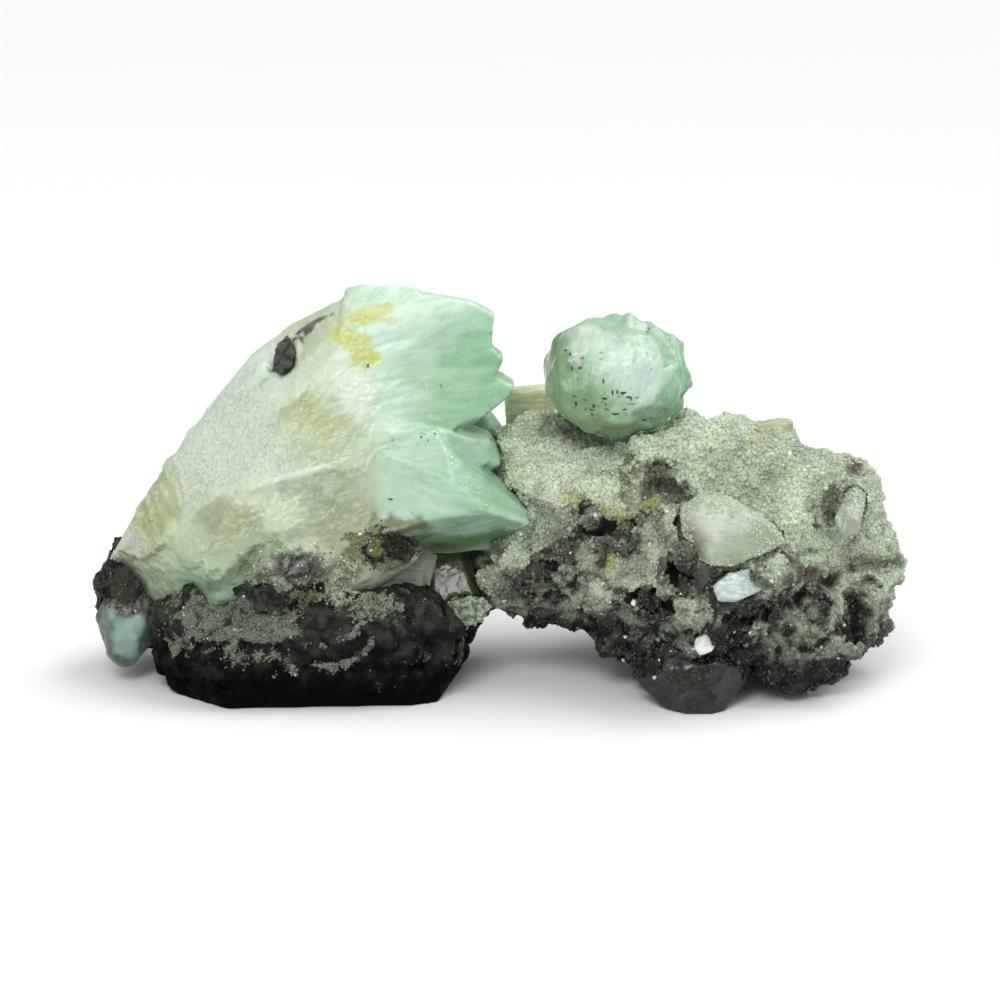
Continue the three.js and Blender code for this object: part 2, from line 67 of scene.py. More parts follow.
def uneven(points: np.ndarray, size: float, octaves: int = 3, shift: float = 0.0) -> np.ndarray:
    """Cloudy unevenness at each point, about -1 to 1.

    Args:
        points: Places in millimetres, one row each.
        size: Width of the largest clouds in millimetres.
        octaves: Number of finer clouds laid over them.
        shift: Moves the pattern, so that two uses of one size differ.

    Returns:
        One value for each point.
    """
    at = points / size + shift
    return np.array([noise.fractal(Vector(p), 0.8, 2.0, octaves) for p in at.tolist()])


def facets(
    points: np.ndarray, long: Triple, sizes: Triple, seed: int, bulge: float = 0.5
) -> tuple[np.ndarray, np.ndarray]:
    """Crystal faces that meet in creases, each tilted its own way.

    Args:
        points: Places in millimetres.
        long: Direction in which the faces are longest.
        sizes: Their size along that direction, across it and through it, in millimetres.
        seed: Number of the pattern.
        bulge: How far each face falls away from its middle.

    Returns:
        The height at each place, about -1 to 1, and a tone from 0 to 1 that each face has to itself.
    """
    chance = np.random.default_rng(seed)
    first = np.array(long) / np.linalg.norm(long)
    second = np.cross(first, (0.0, 1.0, 0.0))
    second /= np.linalg.norm(second)
    local = points @ np.stack([first, second, np.cross(first, second)], axis=1) / np.array(sizes)
    low, high = np.floor(local.min(axis=0)).astype(int) - 1, np.ceil(local.max(axis=0)).astype(int) + 1
    grid = np.stack(np.meshgrid(*[np.arange(a, b) for a, b in zip(low, high)], indexing="ij"), axis=-1)
    middles = grid.reshape(-1, 3) + chance.random((grid.size // 3, 3))
    tree = kdtree.KDTree(len(middles))
    for index, middle in enumerate(middles.tolist()):
        tree.insert(middle, index)
    tree.balance()
    near = np.array([[found[1] for found in tree.find_n(place, 4)] for place in local.tolist()])
    apart = local[:, None] - middles[near]
    tilts = chance.uniform(-1.0, 1.0, (len(middles), 3))
    heights = np.einsum("ijk,ijk->ij", apart, tilts[near]) - bulge * (apart ** 2).sum(axis=2)
    winner = heights.argmax(axis=1)
    rows = np.arange(len(points))
    return heights[rows, winner], chance.random(len(middles))[near[rows, winner]]


def only(piece: bpy.types.Object) -> None:
    """Selects one object and nothing else.

    Args:
        piece: The object, which also becomes the active one.
    """
    if bpy.context.object and bpy.context.object.mode != "OBJECT":
        bpy.ops.object.mode_set(mode="OBJECT")
    bpy.ops.object.select_all(action="DESELECT")
    piece.select_set(True)
    bpy.context.view_layer.objects.active = piece


class Pattern(Enum):
    """Kinds of relief that a surface takes, each with the kind of texture that makes it."""

    CLOUDS = "CLOUDS"
    CREVICES = "VORONOI"


class GrainShape(Enum):
    """Forms of the small crystals that grow on a surface."""

    BLOCK = "block"
    CHIP = "chip"


class Mark:
    """A place on a surface where a colour is laid, crystals grow or the surface is pressed.

    `tint` is its colour and `share` how strong it is. `ragged` is how uneven its edge is and `soft` how
    gradual, both for its half size.
    """

    tint: Colour
    share: float
    ragged: float
    soft: float

    def apart(self, points: np.ndarray) -> np.ndarray:
        """Distance of each point from the middle of the mark, 1 at its edge."""
        raise NotImplementedError(type(self).__name__)

    def cover(self, points: np.ndarray, ripple: np.ndarray) -> np.ndarray:
        """How much of the mark lies on each point.

        Args:
            points: Places in millimetres.
            ripple: Unevenness at each place, which frays the edge.

        Returns:
            Values from 0 to the mark's share.
        """
        frayed = self.apart(points) + self.ragged * ripple
        return self.share * smooth_step(-frayed, -1.0 - self.soft, -1.0 + self.soft)


@dataclass(frozen=True)
class Spot(Mark):
    """A round or oval mark. `at` is its middle and `half` its half sizes, in millimetres."""

    at: Triple
    half: Triple
    tint: Colour = (0.0, 0.0, 0.0)
    share: float = 1.0
    ragged: float = 0.35
    soft: float = 0.35

    def apart(self, points: np.ndarray) -> np.ndarray:
        """Distance of each point from the middle of the spot, 1 at its edge."""
        return np.linalg.norm((points - np.array(self.at)) / np.array(self.half), axis=1)


@dataclass(frozen=True)
class Streak(Mark):
    """A mark along a line. `path` holds its corners and `half` is half its width, in millimetres."""

    path: tuple[Triple, ...]
    half: float
    tint: Colour = (0.0, 0.0, 0.0)
    share: float = 1.0
    ragged: float = 0.35
    soft: float = 0.35

    def apart(self, points: np.ndarray) -> np.ndarray:
        """Distance of each point from the line.

        Args:
            points: Places in millimetres.

        Returns:
            Values that are 0 on the line and 1 at the streak's edge.
        """
        nearest = np.full(len(points), np.inf)
        for start, end in zip(self.path, self.path[1:]):
            run = np.subtract(end, start)
            along = np.clip((points - start) @ run / (run @ run), 0.0, 1.0)
            nearest = np.minimum(nearest, np.linalg.norm(points - start - along[:, None] * run, axis=1))
        return nearest / self.half


class Shell:
    """A closed surface in the making, with its points at hand in millimetres.

    `levels` is the number of steps in which a relief can fade.
    """

    levels = 20

    def __init__(self, piece: bpy.types.Object) -> None:
        """Takes an object whose place is in its mesh."""
        self.piece = piece
        self.read()

    @classmethod
    def from_node(cls, node: str, name: str) -> "Shell":
        """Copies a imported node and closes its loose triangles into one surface.

        Args:
            node: Name of the node.
            name: Name of the new piece.

        Returns:
            The copy, ready to be shaped.
        """
        piece = bpy.data.objects.new(name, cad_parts[node].data.copy())
        bpy.context.collection.objects.link(piece)
        piece.data.materials.clear()
        only(piece)
        bpy.ops.object.mode_set(mode="EDIT")
        bpy.ops.mesh.select_all(action="SELECT")
        bpy.ops.mesh.remove_doubles(threshold=1e-6)
        bpy.ops.mesh.normals_make_consistent(inside=False)
        bpy.ops.object.mode_set(mode="OBJECT")
        return cls(piece)

    def read(self) -> None:
        """Reads points, normals and edges from the mesh."""
        mesh = self.piece.data
        count = len(mesh.vertices)
        points = np.empty(count * 3)
        mesh.vertices.foreach_get("co", points)
        self.points = points.reshape(-1, 3) / MM
        normals = np.empty(count * 3)
        mesh.vertex_normals.foreach_get("vector", normals)
        self.normals = normals.reshape(-1, 3)
        edges = np.empty(len(mesh.edges) * 2, dtype=np.int64)
        mesh.edges.foreach_get("vertices", edges)
        self.edges = edges.reshape(-1, 2)

    def write(self) -> None:
        """Puts the points back into the mesh and reads its normals again."""
        self.points[:, 2] = np.maximum(self.points[:, 2], 0.0)
        self.piece.data.vertices.foreach_set("co", (self.points * MM).ravel())
        self.piece.data.update()
        self.read()

    def finish_with(self, kind: str, **settings: object) -> None:
        """Adds a modifier, applies it and reads the mesh again.

        Args:
            kind: Kind of modifier.
            **settings: Values of the modifier.
        """
        only(self.piece)
        modifier = self.piece.modifiers.new("shape", kind)
        for key, value in settings.items():
            setattr(modifier, key, value)
        bpy.ops.object.modifier_apply(modifier=modifier.name)
        self.read()

    def remesh(self, size: float) -> None:
        """Rebuilds the surface from cells of one size in millimetres."""
        self.finish_with("REMESH", mode="VOXEL", voxel_size=size * MM, adaptivity=0.0)

    def relief(self, pattern: Pattern, size: float, height: float, where: np.ndarray | None = None) -> None:
        """Raises and lowers the surface by a pattern.

        Args:
            pattern: Kind of relief.
            size: Width of its largest forms in millimetres.
            height: Distance from its lowest to its highest points in millimetres.
            where: Share of the relief at each point, or None for all of it.
        """
        texture = bpy.data.textures.new("relief", pattern.value)
        texture.noise_scale = size * MM
        if pattern is Pattern.CLOUDS:
            texture.noise_depth = 3
        else:
            texture.weight_1 = -1.0
            texture.weight_2 = 1.0
            texture.noise_intensity = 2.6
        settings = {"texture": texture, "texture_coords": "LOCAL", "mid_level": 0.45, "strength": height * MM}
        if where is not None:
            group = self.piece.vertex_groups.new(name="relief")
            steps = np.round(np.clip(where, 0, 1) * self.levels).astype(int)
            for step in range(1, self.levels + 1):
                members = np.nonzero(steps == step)[0].tolist()
                if members:
                    group.add(members, step / self.levels, "REPLACE")
            settings["vertex_group"] = group.name
        self.finish_with("DISPLACE", **settings)
        self.piece.vertex_groups.clear()
        bpy.data.textures.remove(texture)

    def push(self, distance: np.ndarray) -> None:
        """Moves each point along its normal by a distance in millimetres."""
        self.points = self.points + self.normals * distance[:, None]
        self.write()

    def averaged(self, values: np.ndarray, times: int) -> np.ndarray:
        """Evens out values over the surface.

        Args:
            values: One row for each point.
            times: Number of rounds, each reaching one edge further.

        Returns:
            The evened values.
        """
        count = len(self.points)
        ends = np.concatenate([self.edges[:, 0], self.edges[:, 1]])
        others = np.concatenate([self.edges[:, 1], self.edges[:, 0]])
        degree = np.maximum(np.bincount(ends, minlength=count), 1)
        flat = values.reshape(count, -1).astype(float)
        for _ in range(times):
            sums = [np.bincount(ends, weights=flat[others, k], minlength=count) for k in range(flat.shape[1])]
            flat = 0.5 * flat + 0.5 * np.stack(sums, axis=1) / degree[:, None]
        return flat.reshape(values.shape)

    def soften(self, times: int, where: np.ndarray | float = 1.0) -> None:
        """Wears the surface smooth.

        Args:
            times: Number of rounds.
            where: Share of the smoothing at each point.
        """
        share = np.broadcast_to(np.asarray(where, dtype=float), (len(self.points),))
        self.points = self.points + share[:, None] * (self.averaged(self.points, times) - self.points)
        self.write()

    def press(self, marks: Sequence[Mark], ripple: np.ndarray) -> None:
        """Presses hollows into the surface.

        Args:
            marks: The hollows; the share of each is its depth in millimetres.
            ripple: Unevenness at each point.
        """
        depth = np.zeros(len(self.points))
        for mark in marks:
            depth -= mark.cover(self.points, ripple)
        self.push(depth)

    def all_over(self, colour: Colour) -> np.ndarray:
        """One colour at every point."""
        return np.tile(np.array(colour), (len(self.points), 1))

    def standing(self, times: int) -> np.ndarray:
        """How far each point stands out of its surroundings, in millimetres."""
        return np.einsum("ij,ij->i", self.points - self.averaged(self.points, times), self.normals)

    def keep(self, name: str, values: np.ndarray) -> None:
        """Stores a value or a colour for each point as an attribute of the mesh.

        Args:
            name: Name of the attribute.
            values: One value or one row of three for each point.
        """
        if values.ndim == 1:
            attribute = self.piece.data.attributes.new(name, "FLOAT", "POINT")
            attribute.data.foreach_set("value", values.astype(np.float32))
            return
        attribute = self.piece.data.attributes.new(name, "FLOAT_COLOR", "POINT")
        four = np.ones((len(values), 4), dtype=np.float32)
        four[:, :3] = values
        attribute.data.foreach_set("color", four.ravel())

    def triangles(self) -> np.ndarray:
        """Splits the surface into triangles.

        Returns:
            Rows of three point numbers.
        """
        mesh = self.piece.data
        mesh.calc_loop_triangles()
        rows = np.empty(len(mesh.loop_triangles) * 3, dtype=np.int64)
        mesh.loop_triangles.foreach_get("vertices", rows)
        return rows.reshape(-1, 3)


def painted(points: np.ndarray, base: np.ndarray, marks: Sequence[Mark], ripple: np.ndarray) -> np.ndarray:
    """Lays the tints of marks over a base colour.

    Args:
        points: Places in millimetres.
        base: Colour at each place.
        marks: Marks in the order in which they are laid.
        ripple: Unevenness at each place.

    Returns:
        The colour at each place.
    """
    tints = base.copy()
    for mark in marks:
        cover = mark.cover(points, ripple)[:, None]
        tints = tints * (1.0 - cover) + np.array(mark.tint) * cover
    return tints


def covered(points: np.ndarray, marks: Sequence[Mark], ripple: np.ndarray) -> np.ndarray:
    """Finds the strongest cover of several marks.

    Args:
        points: Places in millimetres.
        marks: The marks.
        ripple: Unevenness at each place.

    Returns:
        The cover at each place.
    """
    cover = np.zeros(len(points))
    for mark in marks:
        cover = np.maximum(cover, mark.cover(points, ripple))
    return cover


def blend(first: Colour | np.ndarray, second: Colour | np.ndarray, share: np.ndarray) -> np.ndarray:
    """Mixes two colours by a share at each point."""
    return np.asarray(first) * (1.0 - share[:, None]) + np.asarray(second) * share[:, None]


class Recipe:
    """A node material in the making, round one Principled shader."""

    def __init__(self, name: str) -> None:
        """Starts a material with its shader and output.

        Args:
            name: Name of the material.
        """
        self.material = bpy.data.materials.new(name)
        self.material.use_nodes = True
        self.tree = self.material.node_tree
        self.tree.nodes.clear()
        self.output = self.add("ShaderNodeOutputMaterial")
        self.shader = self.add("ShaderNodeBsdfPrincipled")
        self.tree.links.new(self.shader.outputs[0], self.output.inputs["Surface"])
        self.place = self.add("ShaderNodeTexCoord").outputs["Object"]

    def add(self, kind: str, **settings: object) -> bpy.types.Node:
        """Adds a node.

        Args:
            kind: Its type.
            **settings: Its properties.

        Returns:
            The node.
        """
        node = self.tree.nodes.new(kind)
        for key, value in settings.items():
            setattr(node, key, value)
        return node

    def feed(self, node: bpy.types.Node, **inputs: object) -> bpy.types.Node:
        """Fills inputs of a node.

        Args:
            node: The node.
            **inputs: Sockets or plain values; `_` stands for a space in an input's name.

        Returns:
            The node.
        """
        for key, value in inputs.items():
            self.put(value, node.inputs[key.replace("_", " ")])
        return node

    def put(self, value: object, entry: Socket) -> None:
        """Fills one input.

        Args:
            value: A socket, which is linked to it, or a plain value, which is set on it.
            entry: The input.
        """
        if isinstance(value, Socket):
            self.tree.links.new(value, entry)
        else:
            entry.default_value = value

    def shade(self, **inputs: object) -> None:
        """Fills inputs of the shader."""
        self.feed(self.shader, **inputs)

    def stored(self, name: str, socket: str = "Color") -> Socket:
        """Reads an attribute of the piece."""
        return self.add("ShaderNodeAttribute", attribute_name=name).outputs[socket]

    def parts(self, vector: Socket) -> list[Socket]:
        """Splits a vector or colour.

        Args:
            vector: The vector or colour.

        Returns:
            Its three values.
        """
        node = self.feed(self.add("ShaderNodeSeparateXYZ"), Vector=vector)
        return list(node.outputs)

    def stretched(self, place: Socket, scale: Triple, turn: Triple = (0, 0, 0)) -> Socket:
        """Turns and stretches a place before a pattern reads it.

        Args:
            place: The place.
            scale: Stretch along each axis.
            turn: Turn about each axis, in radians.

        Returns:
            The new place.
        """
        node = self.feed(self.add("ShaderNodeMapping"), Vector=place, Rotation=turn, Scale=scale)
        return node.outputs[0]

    def clouds(
        self, size: float, detail: float = 3.0, rough: float = 0.55, place: Socket | None = None
    ) -> Socket:
        """Cloudy noise whose largest clouds are `size` millimetres wide.

        Args:
            size: Width of the clouds.
            detail: Number of finer layers.
            rough: Strength of the finer layers.
            place: Where it is read, or None for the place on the piece.

        Returns:
            A value from 0 to 1.
        """
        node = self.add("ShaderNodeTexNoise")
        self.feed(node, Vector=place or self.place, Scale=1 / (size * MM), Detail=detail, Roughness=rough)
        return node.outputs["Fac"]

    def cells(self, size: float, place: Socket | None = None) -> Socket:
        """Cells, each about as wide as `size`.

        Args:
            size: Their width in millimetres.
            place: Where they are read, or None for the place on the piece.

        Returns:
            Distance from the middle of the nearest cell, for its size.
        """
        cells = self.add("ShaderNodeTexVoronoi")
        self.feed(cells, Vector=place or self.place, Scale=1 / (size * MM))
        return cells.outputs["Distance"]

    def between(self, value: Socket, low: float, high: float, start: float = 0.0, end: float = 1.0) -> Socket:
        """Stretches a value smoothly from one range to another and holds it at both ends.

        Args:
            value: The value.
            low: Lower end of its range.
            high: Upper end of its range.
            start: What the lower end becomes.
            end: What the upper end becomes.

        Returns:
            The new value.
        """
        node = self.add("ShaderNodeMapRange", interpolation_type="SMOOTHSTEP")
        self.feed(node, Value=value, From_Min=low, From_Max=high, To_Min=start, To_Max=end)
        return node.outputs[0]

    def spread(self, clouds: Socket, start: float = 0.0, end: float = 1.0) -> Socket:
        """Stretches the range that clouds mostly have, 0.3 to 0.7, to start-end."""
        return self.between(clouds, 0.3, 0.7, start, end)

    def times(self, first: object, second: object) -> Socket:
        """Multiplies two values."""
        return self.step("MULTIPLY", first, second)

    def step(self, operation: str, first: object, second: object) -> Socket:
        """Does one step of arithmetic.

        Args:
            operation: Its name.
            first: A socket or a number.
            second: A socket or a number.

        Returns:
            The result.
        """
        node = self.add("ShaderNodeMath", operation=operation)
        self.put(first, node.inputs[0])
        self.put(second, node.inputs[1])
        return node.outputs[0]

    def mix(self, share: object, first: object, second: object, kind: str = "MIX") -> Socket:
        """Mixes two colours.

        Args:
            share: How much of the second shows, a socket or a number.
            first: A socket or three values.
            second: A socket or three values.
            kind: How the second is laid on the first.

        Returns:
            The mixed colour.
        """
        node = self.add("ShaderNodeMix", data_type="RGBA", blend_type=kind)
        self.put(share, node.inputs[0])
        for colour, index in ((first, 6), (second, 7)):
            self.put((*colour, 1.0) if isinstance(colour, tuple) else colour, node.inputs[index])
        return node.outputs[2]

    def bump(
        self, height: Socket, depth: float, strength: float = 1.0, under: Socket | None = None
    ) -> Socket:
        """Gives the surface a fine relief.

        Args:
            height: Height of the relief, about 0 to 1.
            depth: Its depth in millimetres.
            strength: How strongly it shows.
            under: Another relief that it lies on, or None.

        Returns:
            The direction in which the surface looks.
        """
        node = self.add("ShaderNodeBump")
        self.feed(node, Height=height, Distance=depth * MM, Strength=strength)
        if under is not None:
            self.feed(node, Normal=under)
        return node.outputs[0]


@dataclass(frozen=True)
class DruseFinish:
    """Sugary grey-green crust: each piece's own tint, broken up by grains and by painted shade in the pores
    between them.
    """

    name: str = "sugary_druse"
    roughness: float = 0.5
    grain: float = 0.45
    relief: float = 0.12
    dull: Colour = (0.68, 0.7, 0.66)
    lively: Colour = (1.22, 1.22, 1.2)
    pore_shade: Colour = (0.05, 0.055, 0.04)

    def build(self) -> bpy.types.Material:
        """Makes the material.

        Returns:
            The material.
        """
        mat = Recipe(self.name)
        tint = mat.stored("tint")
        fine = mat.clouds(self.grain, 4.0, 0.7)
        grains = mat.cells(0.8 * self.grain)
        speckle = mat.mix(1.0, tint, mat.mix(mat.spread(fine), self.dull, self.lively), "MULTIPLY")
        # Painted shade: the pores between the grains are darkened.
        pores = mat.between(grains, 0.45, 0.8, 0.0, 0.4)
        height = mat.step("ADD", fine, mat.times(grains, -0.8))
        mat.shade(
            Base_Color=mat.mix(pores, speckle, self.pore_shade),
            Roughness=mat.spread(fine, self.roughness - 0.15, self.roughness + 0.2),
            IOR=1.5,
            Specular_IOR_Level=0.2,
            Normal=mat.bump(height, self.relief),
        )
        return mat.material


@dataclass(frozen=True)
class GrainFinish:
    """Small glassy crystals, each with its own tint."""

    name: str = "druse_crystals"
    roughness: float = 0.28
    haze: Colour = (0.8, 0.85, 0.78)

    def build(self) -> bpy.types.Material:
        """Makes the material.

        Returns:
            The material.
        """
        mat = Recipe(self.name)
        haze = mat.clouds(0.3, 2.0)
        mat.shade(
            Base_Color=mat.mix(mat.spread(haze, 0.0, 0.12), mat.stored("tint"), self.haze),
            Roughness=mat.spread(haze, self.roughness - 0.12, self.roughness + 0.15),
            IOR=1.52,
            Specular_IOR_Level=0.3,
        )
        return mat.material


@dataclass(frozen=True)
class BasaltFinish:
    """Black basalt, darkest at its foot, where painted shade deepens the black, with a thin grey-green film
    higher up and pale powder where the attribute `powder` lets it lie. Heights are in metres over the floor."""

    name: str = "basalt"
    dark: Colour = linear(17, 17, 17)
    brown: Colour = linear(46, 45, 42)
    speck: Colour = linear(96, 102, 94)
    # Near black laid at the foot as painted shade.
    foot: Colour = linear(4, 4, 4)
    film: Colour = linear(76, 84, 74)
    shaded_powder: Colour = linear(62, 68, 56)
    foot_ends: tuple[float, float] = (0.003, 0.008)
    film_starts: tuple[float, float] = (0.006, 0.012)

    def build(self) -> bpy.types.Material:
        """Makes the material.

        Returns:
            The material.
        """
        mat = Recipe(self.name)
        coarse = mat.clouds(2.4, 5.0, 0.6)
        fine = mat.clouds(0.4, 4.0, 0.75)
        rock = mat.mix(mat.between(coarse, 0.35, 0.68), self.dark, self.brown)
        specks = mat.between(mat.cells(0.5), 0.05, 0.16, 1.0, 0.0)
        rock = mat.mix(mat.times(specks, 0.25), rock, self.speck)
        height = mat.step("ADD", mat.parts(mat.place)[2], mat.spread(coarse, -1.5 * MM, 1.5 * MM))
        # Painted shade: the black rock is made darker still towards the foot.
        rock = mat.mix(mat.between(height, *self.foot_ends, 0.95, 0.0), rock, self.foot)
        patches = mat.between(mat.clouds(1.7, 5.0, 0.7), 0.4, 0.64)
        film = mat.times(mat.between(height, *self.film_starts, 0.0, 0.7), patches)
        rock = mat.mix(film, rock, self.film)
        frayed = mat.times(mat.step("SUBTRACT", fine, 0.5), 1.5)
        lies = mat.between(mat.step("ADD", mat.stored("powder", "Fac"), frayed), 0.4, 0.9)
        swirls = mat.between(mat.clouds(0.7, 4.0, 0.75), 0.35, 0.65)
        powder = mat.mix(swirls, self.shaded_powder, mat.stored("tint"))
        mat.shade(
            Base_Color=mat.mix(lies, rock, powder),
            Roughness=mat.spread(fine, 0.4, 0.8),
            IOR=1.5,
            Specular_IOR_Level=0.05,
            Normal=mat.bump(mat.step("ADD", fine, coarse), 0.22),
        )
        return mat.material


@dataclass(frozen=True)
class CrystalFinish:
    """Translucent crystal.

    The piece's attributes hold its tint, its marks (frost, dark flecks, painted white glints), how
    strongly its growth lines show and its run (where along the blades each point lies). `depth` is how
    deep light goes in and `line_size` and `line_depth` are the width and the relief of the lines, in
    millimetres.
    """

    name: str
    roughness: float = 0.3
    depth: float = 2.0
    glow: float = 0.4
    clear: float = 0.05
    line_size: float = 0.9
    line_depth: float = 0.05
    frost: Colour = linear(222, 232, 218)
    frost_pit: Colour = linear(166, 184, 162)
    groove: Colour = (0.7, 0.82, 0.72)
    ridge: Colour = (1.12, 1.06, 1.1)
    fleck: Colour = linear(30, 44, 26)
    painted_glint_tint: Colour = linear(250, 252, 248)

    def build(self) -> bpy.types.Material:
        """Makes the material.

        Returns:
            The material.
        """
        mat = Recipe(self.name)
        frost, flecks, painted_glints = mat.parts(mat.stored("marks", "Vector"))
        shown = mat.stored("lines", "Fac")
        lines = mat.clouds(self.line_size, 3.0, 0.6, mat.stored("run", "Vector"))
        broad = mat.clouds(3.4, 4.0, 0.6)
        grooves = mat.mix(mat.spread(lines), self.groove, self.ridge)
        tint = mat.mix(shown, mat.stored("tint"), mat.mix(1.0, mat.stored("tint"), grooves, "MULTIPLY"))
        tint = mat.mix(mat.between(broad, 0.42, 0.72, 0.0, 0.3), tint, mat.mix(0.5, tint, self.frost))
        stipple = mat.clouds(0.36, 3.0, 0.75, mat.stretched(mat.place, (1.0, 1.0, 0.5), (0.0, 0.7, 0.0)))
        frosted = mat.mix(mat.between(stipple, 0.38, 0.6), self.frost_pit, self.frost)
        tint = mat.mix(mat.times(frost, 0.6), tint, frosted)
        upright = mat.cells(1.0, mat.stretched(mat.place, (1.3, 1.0, 0.5), (0.0, 0.2, 0.0)))
        level = mat.cells(1.05, mat.stretched(mat.place, (0.42, 1.0, 1.4), (0.0, -0.2, 0.0)))
        dashes = mat.between(mat.step("MINIMUM", upright, level), 0.16, 0.3, 1.0, 0.0)
        tint = mat.mix(mat.times(flecks, dashes), tint, self.fleck)
        # Painted glints: white specks where the marks say, standing in for glints of light.
        glints = mat.between(mat.cells(0.5), 0.14, 0.3, 1.0, 0.0)
        tint = mat.mix(mat.times(painted_glints, glints), tint, self.painted_glint_tint)
        under = mat.bump(mat.times(lines, shown), self.line_depth)
        rough = mat.spread(broad, self.roughness - 0.08, self.roughness + 0.1)
        mat.shade(
            Base_Color=tint,
            Roughness=mat.step("ADD", rough, mat.times(frost, 0.25)),
            IOR=1.535,
            Specular_IOR_Level=0.4,
            Subsurface_Weight=self.glow,
            Subsurface_Radius=(0.85, 1.0, 0.85),
            Subsurface_Scale=self.depth * MM,
            Transmission_Weight=self.clear,
            Normal=mat.bump(mat.times(stipple, frost), 0.07, 0.5, under),
        )
        return mat.material


@dataclass(frozen=True)
class ClearFinish:
    """Clear, lightly tinted crystal: transmission, with the tint taken up on the way through."""

    name: str
    tint: Colour = (0.8, 0.88, 0.78)
    absorb: Colour = (0.5, 0.6, 0.45)
    density: float = 120.0
    roughness: float = 0.12
    clear: float = 0.85
    veil: float = 0.5
    cloudy: Colour = (0.9, 0.93, 0.88)

    def build(self) -> bpy.types.Material:
        """Makes the material.

        Returns:
            The material.
        """
        mat = Recipe(self.name)
        veil = mat.clouds(1.2, 4.0, 0.6)
        mat.shade(
            Base_Color=mat.mix(mat.between(veil, 0.4, 0.7, 0.0, self.veil), self.tint, self.cloudy),
            Roughness=mat.between(veil, 0.35, 0.7, self.roughness - 0.05, self.roughness + 0.2),
            IOR=1.54,
            Transmission_Weight=self.clear,
            Normal=mat.bump(mat.clouds(0.6, 3.0), 0.04),
        )
        soak = mat.add("ShaderNodeVolumeAbsorption")
        mat.feed(soak, Color=(*self.absorb, 1.0), Density=self.density)
        mat.tree.links.new(soak.outputs[0], mat.output.inputs["Volume"])
        return mat.material


@dataclass(frozen=True)
class SilkFinish:
    """Pearly stilbite: the piece's own tint, with fine lines along one direction and a dull haze.

    `turn` turns the lines, and `contrast` is the tone of the darkest of them.
    """

    name: str
    turn: Triple = (0.0, 0.0, 0.0)
    roughness: float = 0.3
    contrast: float = 0.7
    haze: Colour = linear(140, 152, 128)

    def build(self) -> bpy.types.Material:
        """Makes the material.

        Returns:
            The material.
        """
        mat = Recipe(self.name)
        tint = mat.stored("tint")
        along = mat.stretched(mat.place, (0.12, 1.0, 1.0), self.turn)
        lines = mat.clouds(0.5, 4.0, 0.7, along)
        pearl = mat.mix(1.0, tint, mat.mix(mat.spread(lines), 3 * (self.contrast,), 3 * (1.08,)), "MULTIPLY")
        haze = mat.between(mat.clouds(1.0, 4.0, 0.7), 0.5, 0.72, 0.0, 0.4)
        mat.shade(
            Base_Color=mat.mix(haze, pearl, self.haze),
            Roughness=mat.spread(lines, self.roughness - 0.1, self.roughness + 0.15),
            IOR=1.5,
            Subsurface_Weight=0.25,
            Subsurface_Radius=(1.0, 1.0, 1.0),
            Subsurface_Scale=1.0 * MM,
            Normal=mat.bump(lines, 0.08),
        )
        return mat.material


@dataclass(frozen=True)
class FloorFinish:
    """Plain pale paper."""

    name: str = "pale_floor"
    cool: Colour = (0.9, 0.9, 0.905)
    warm: Colour = (0.91, 0.91, 0.91)

    def build(self) -> bpy.types.Material:
        """Makes the material.

        Returns:
            The material.
        """
        mat = Recipe(self.name)
        tone = mat.mix(mat.clouds(60.0, 2.0), self.cool, self.warm)
        mat.shade(Base_Color=tone, Roughness=0.9, Specular_IOR_Level=0.1)
        return mat.material


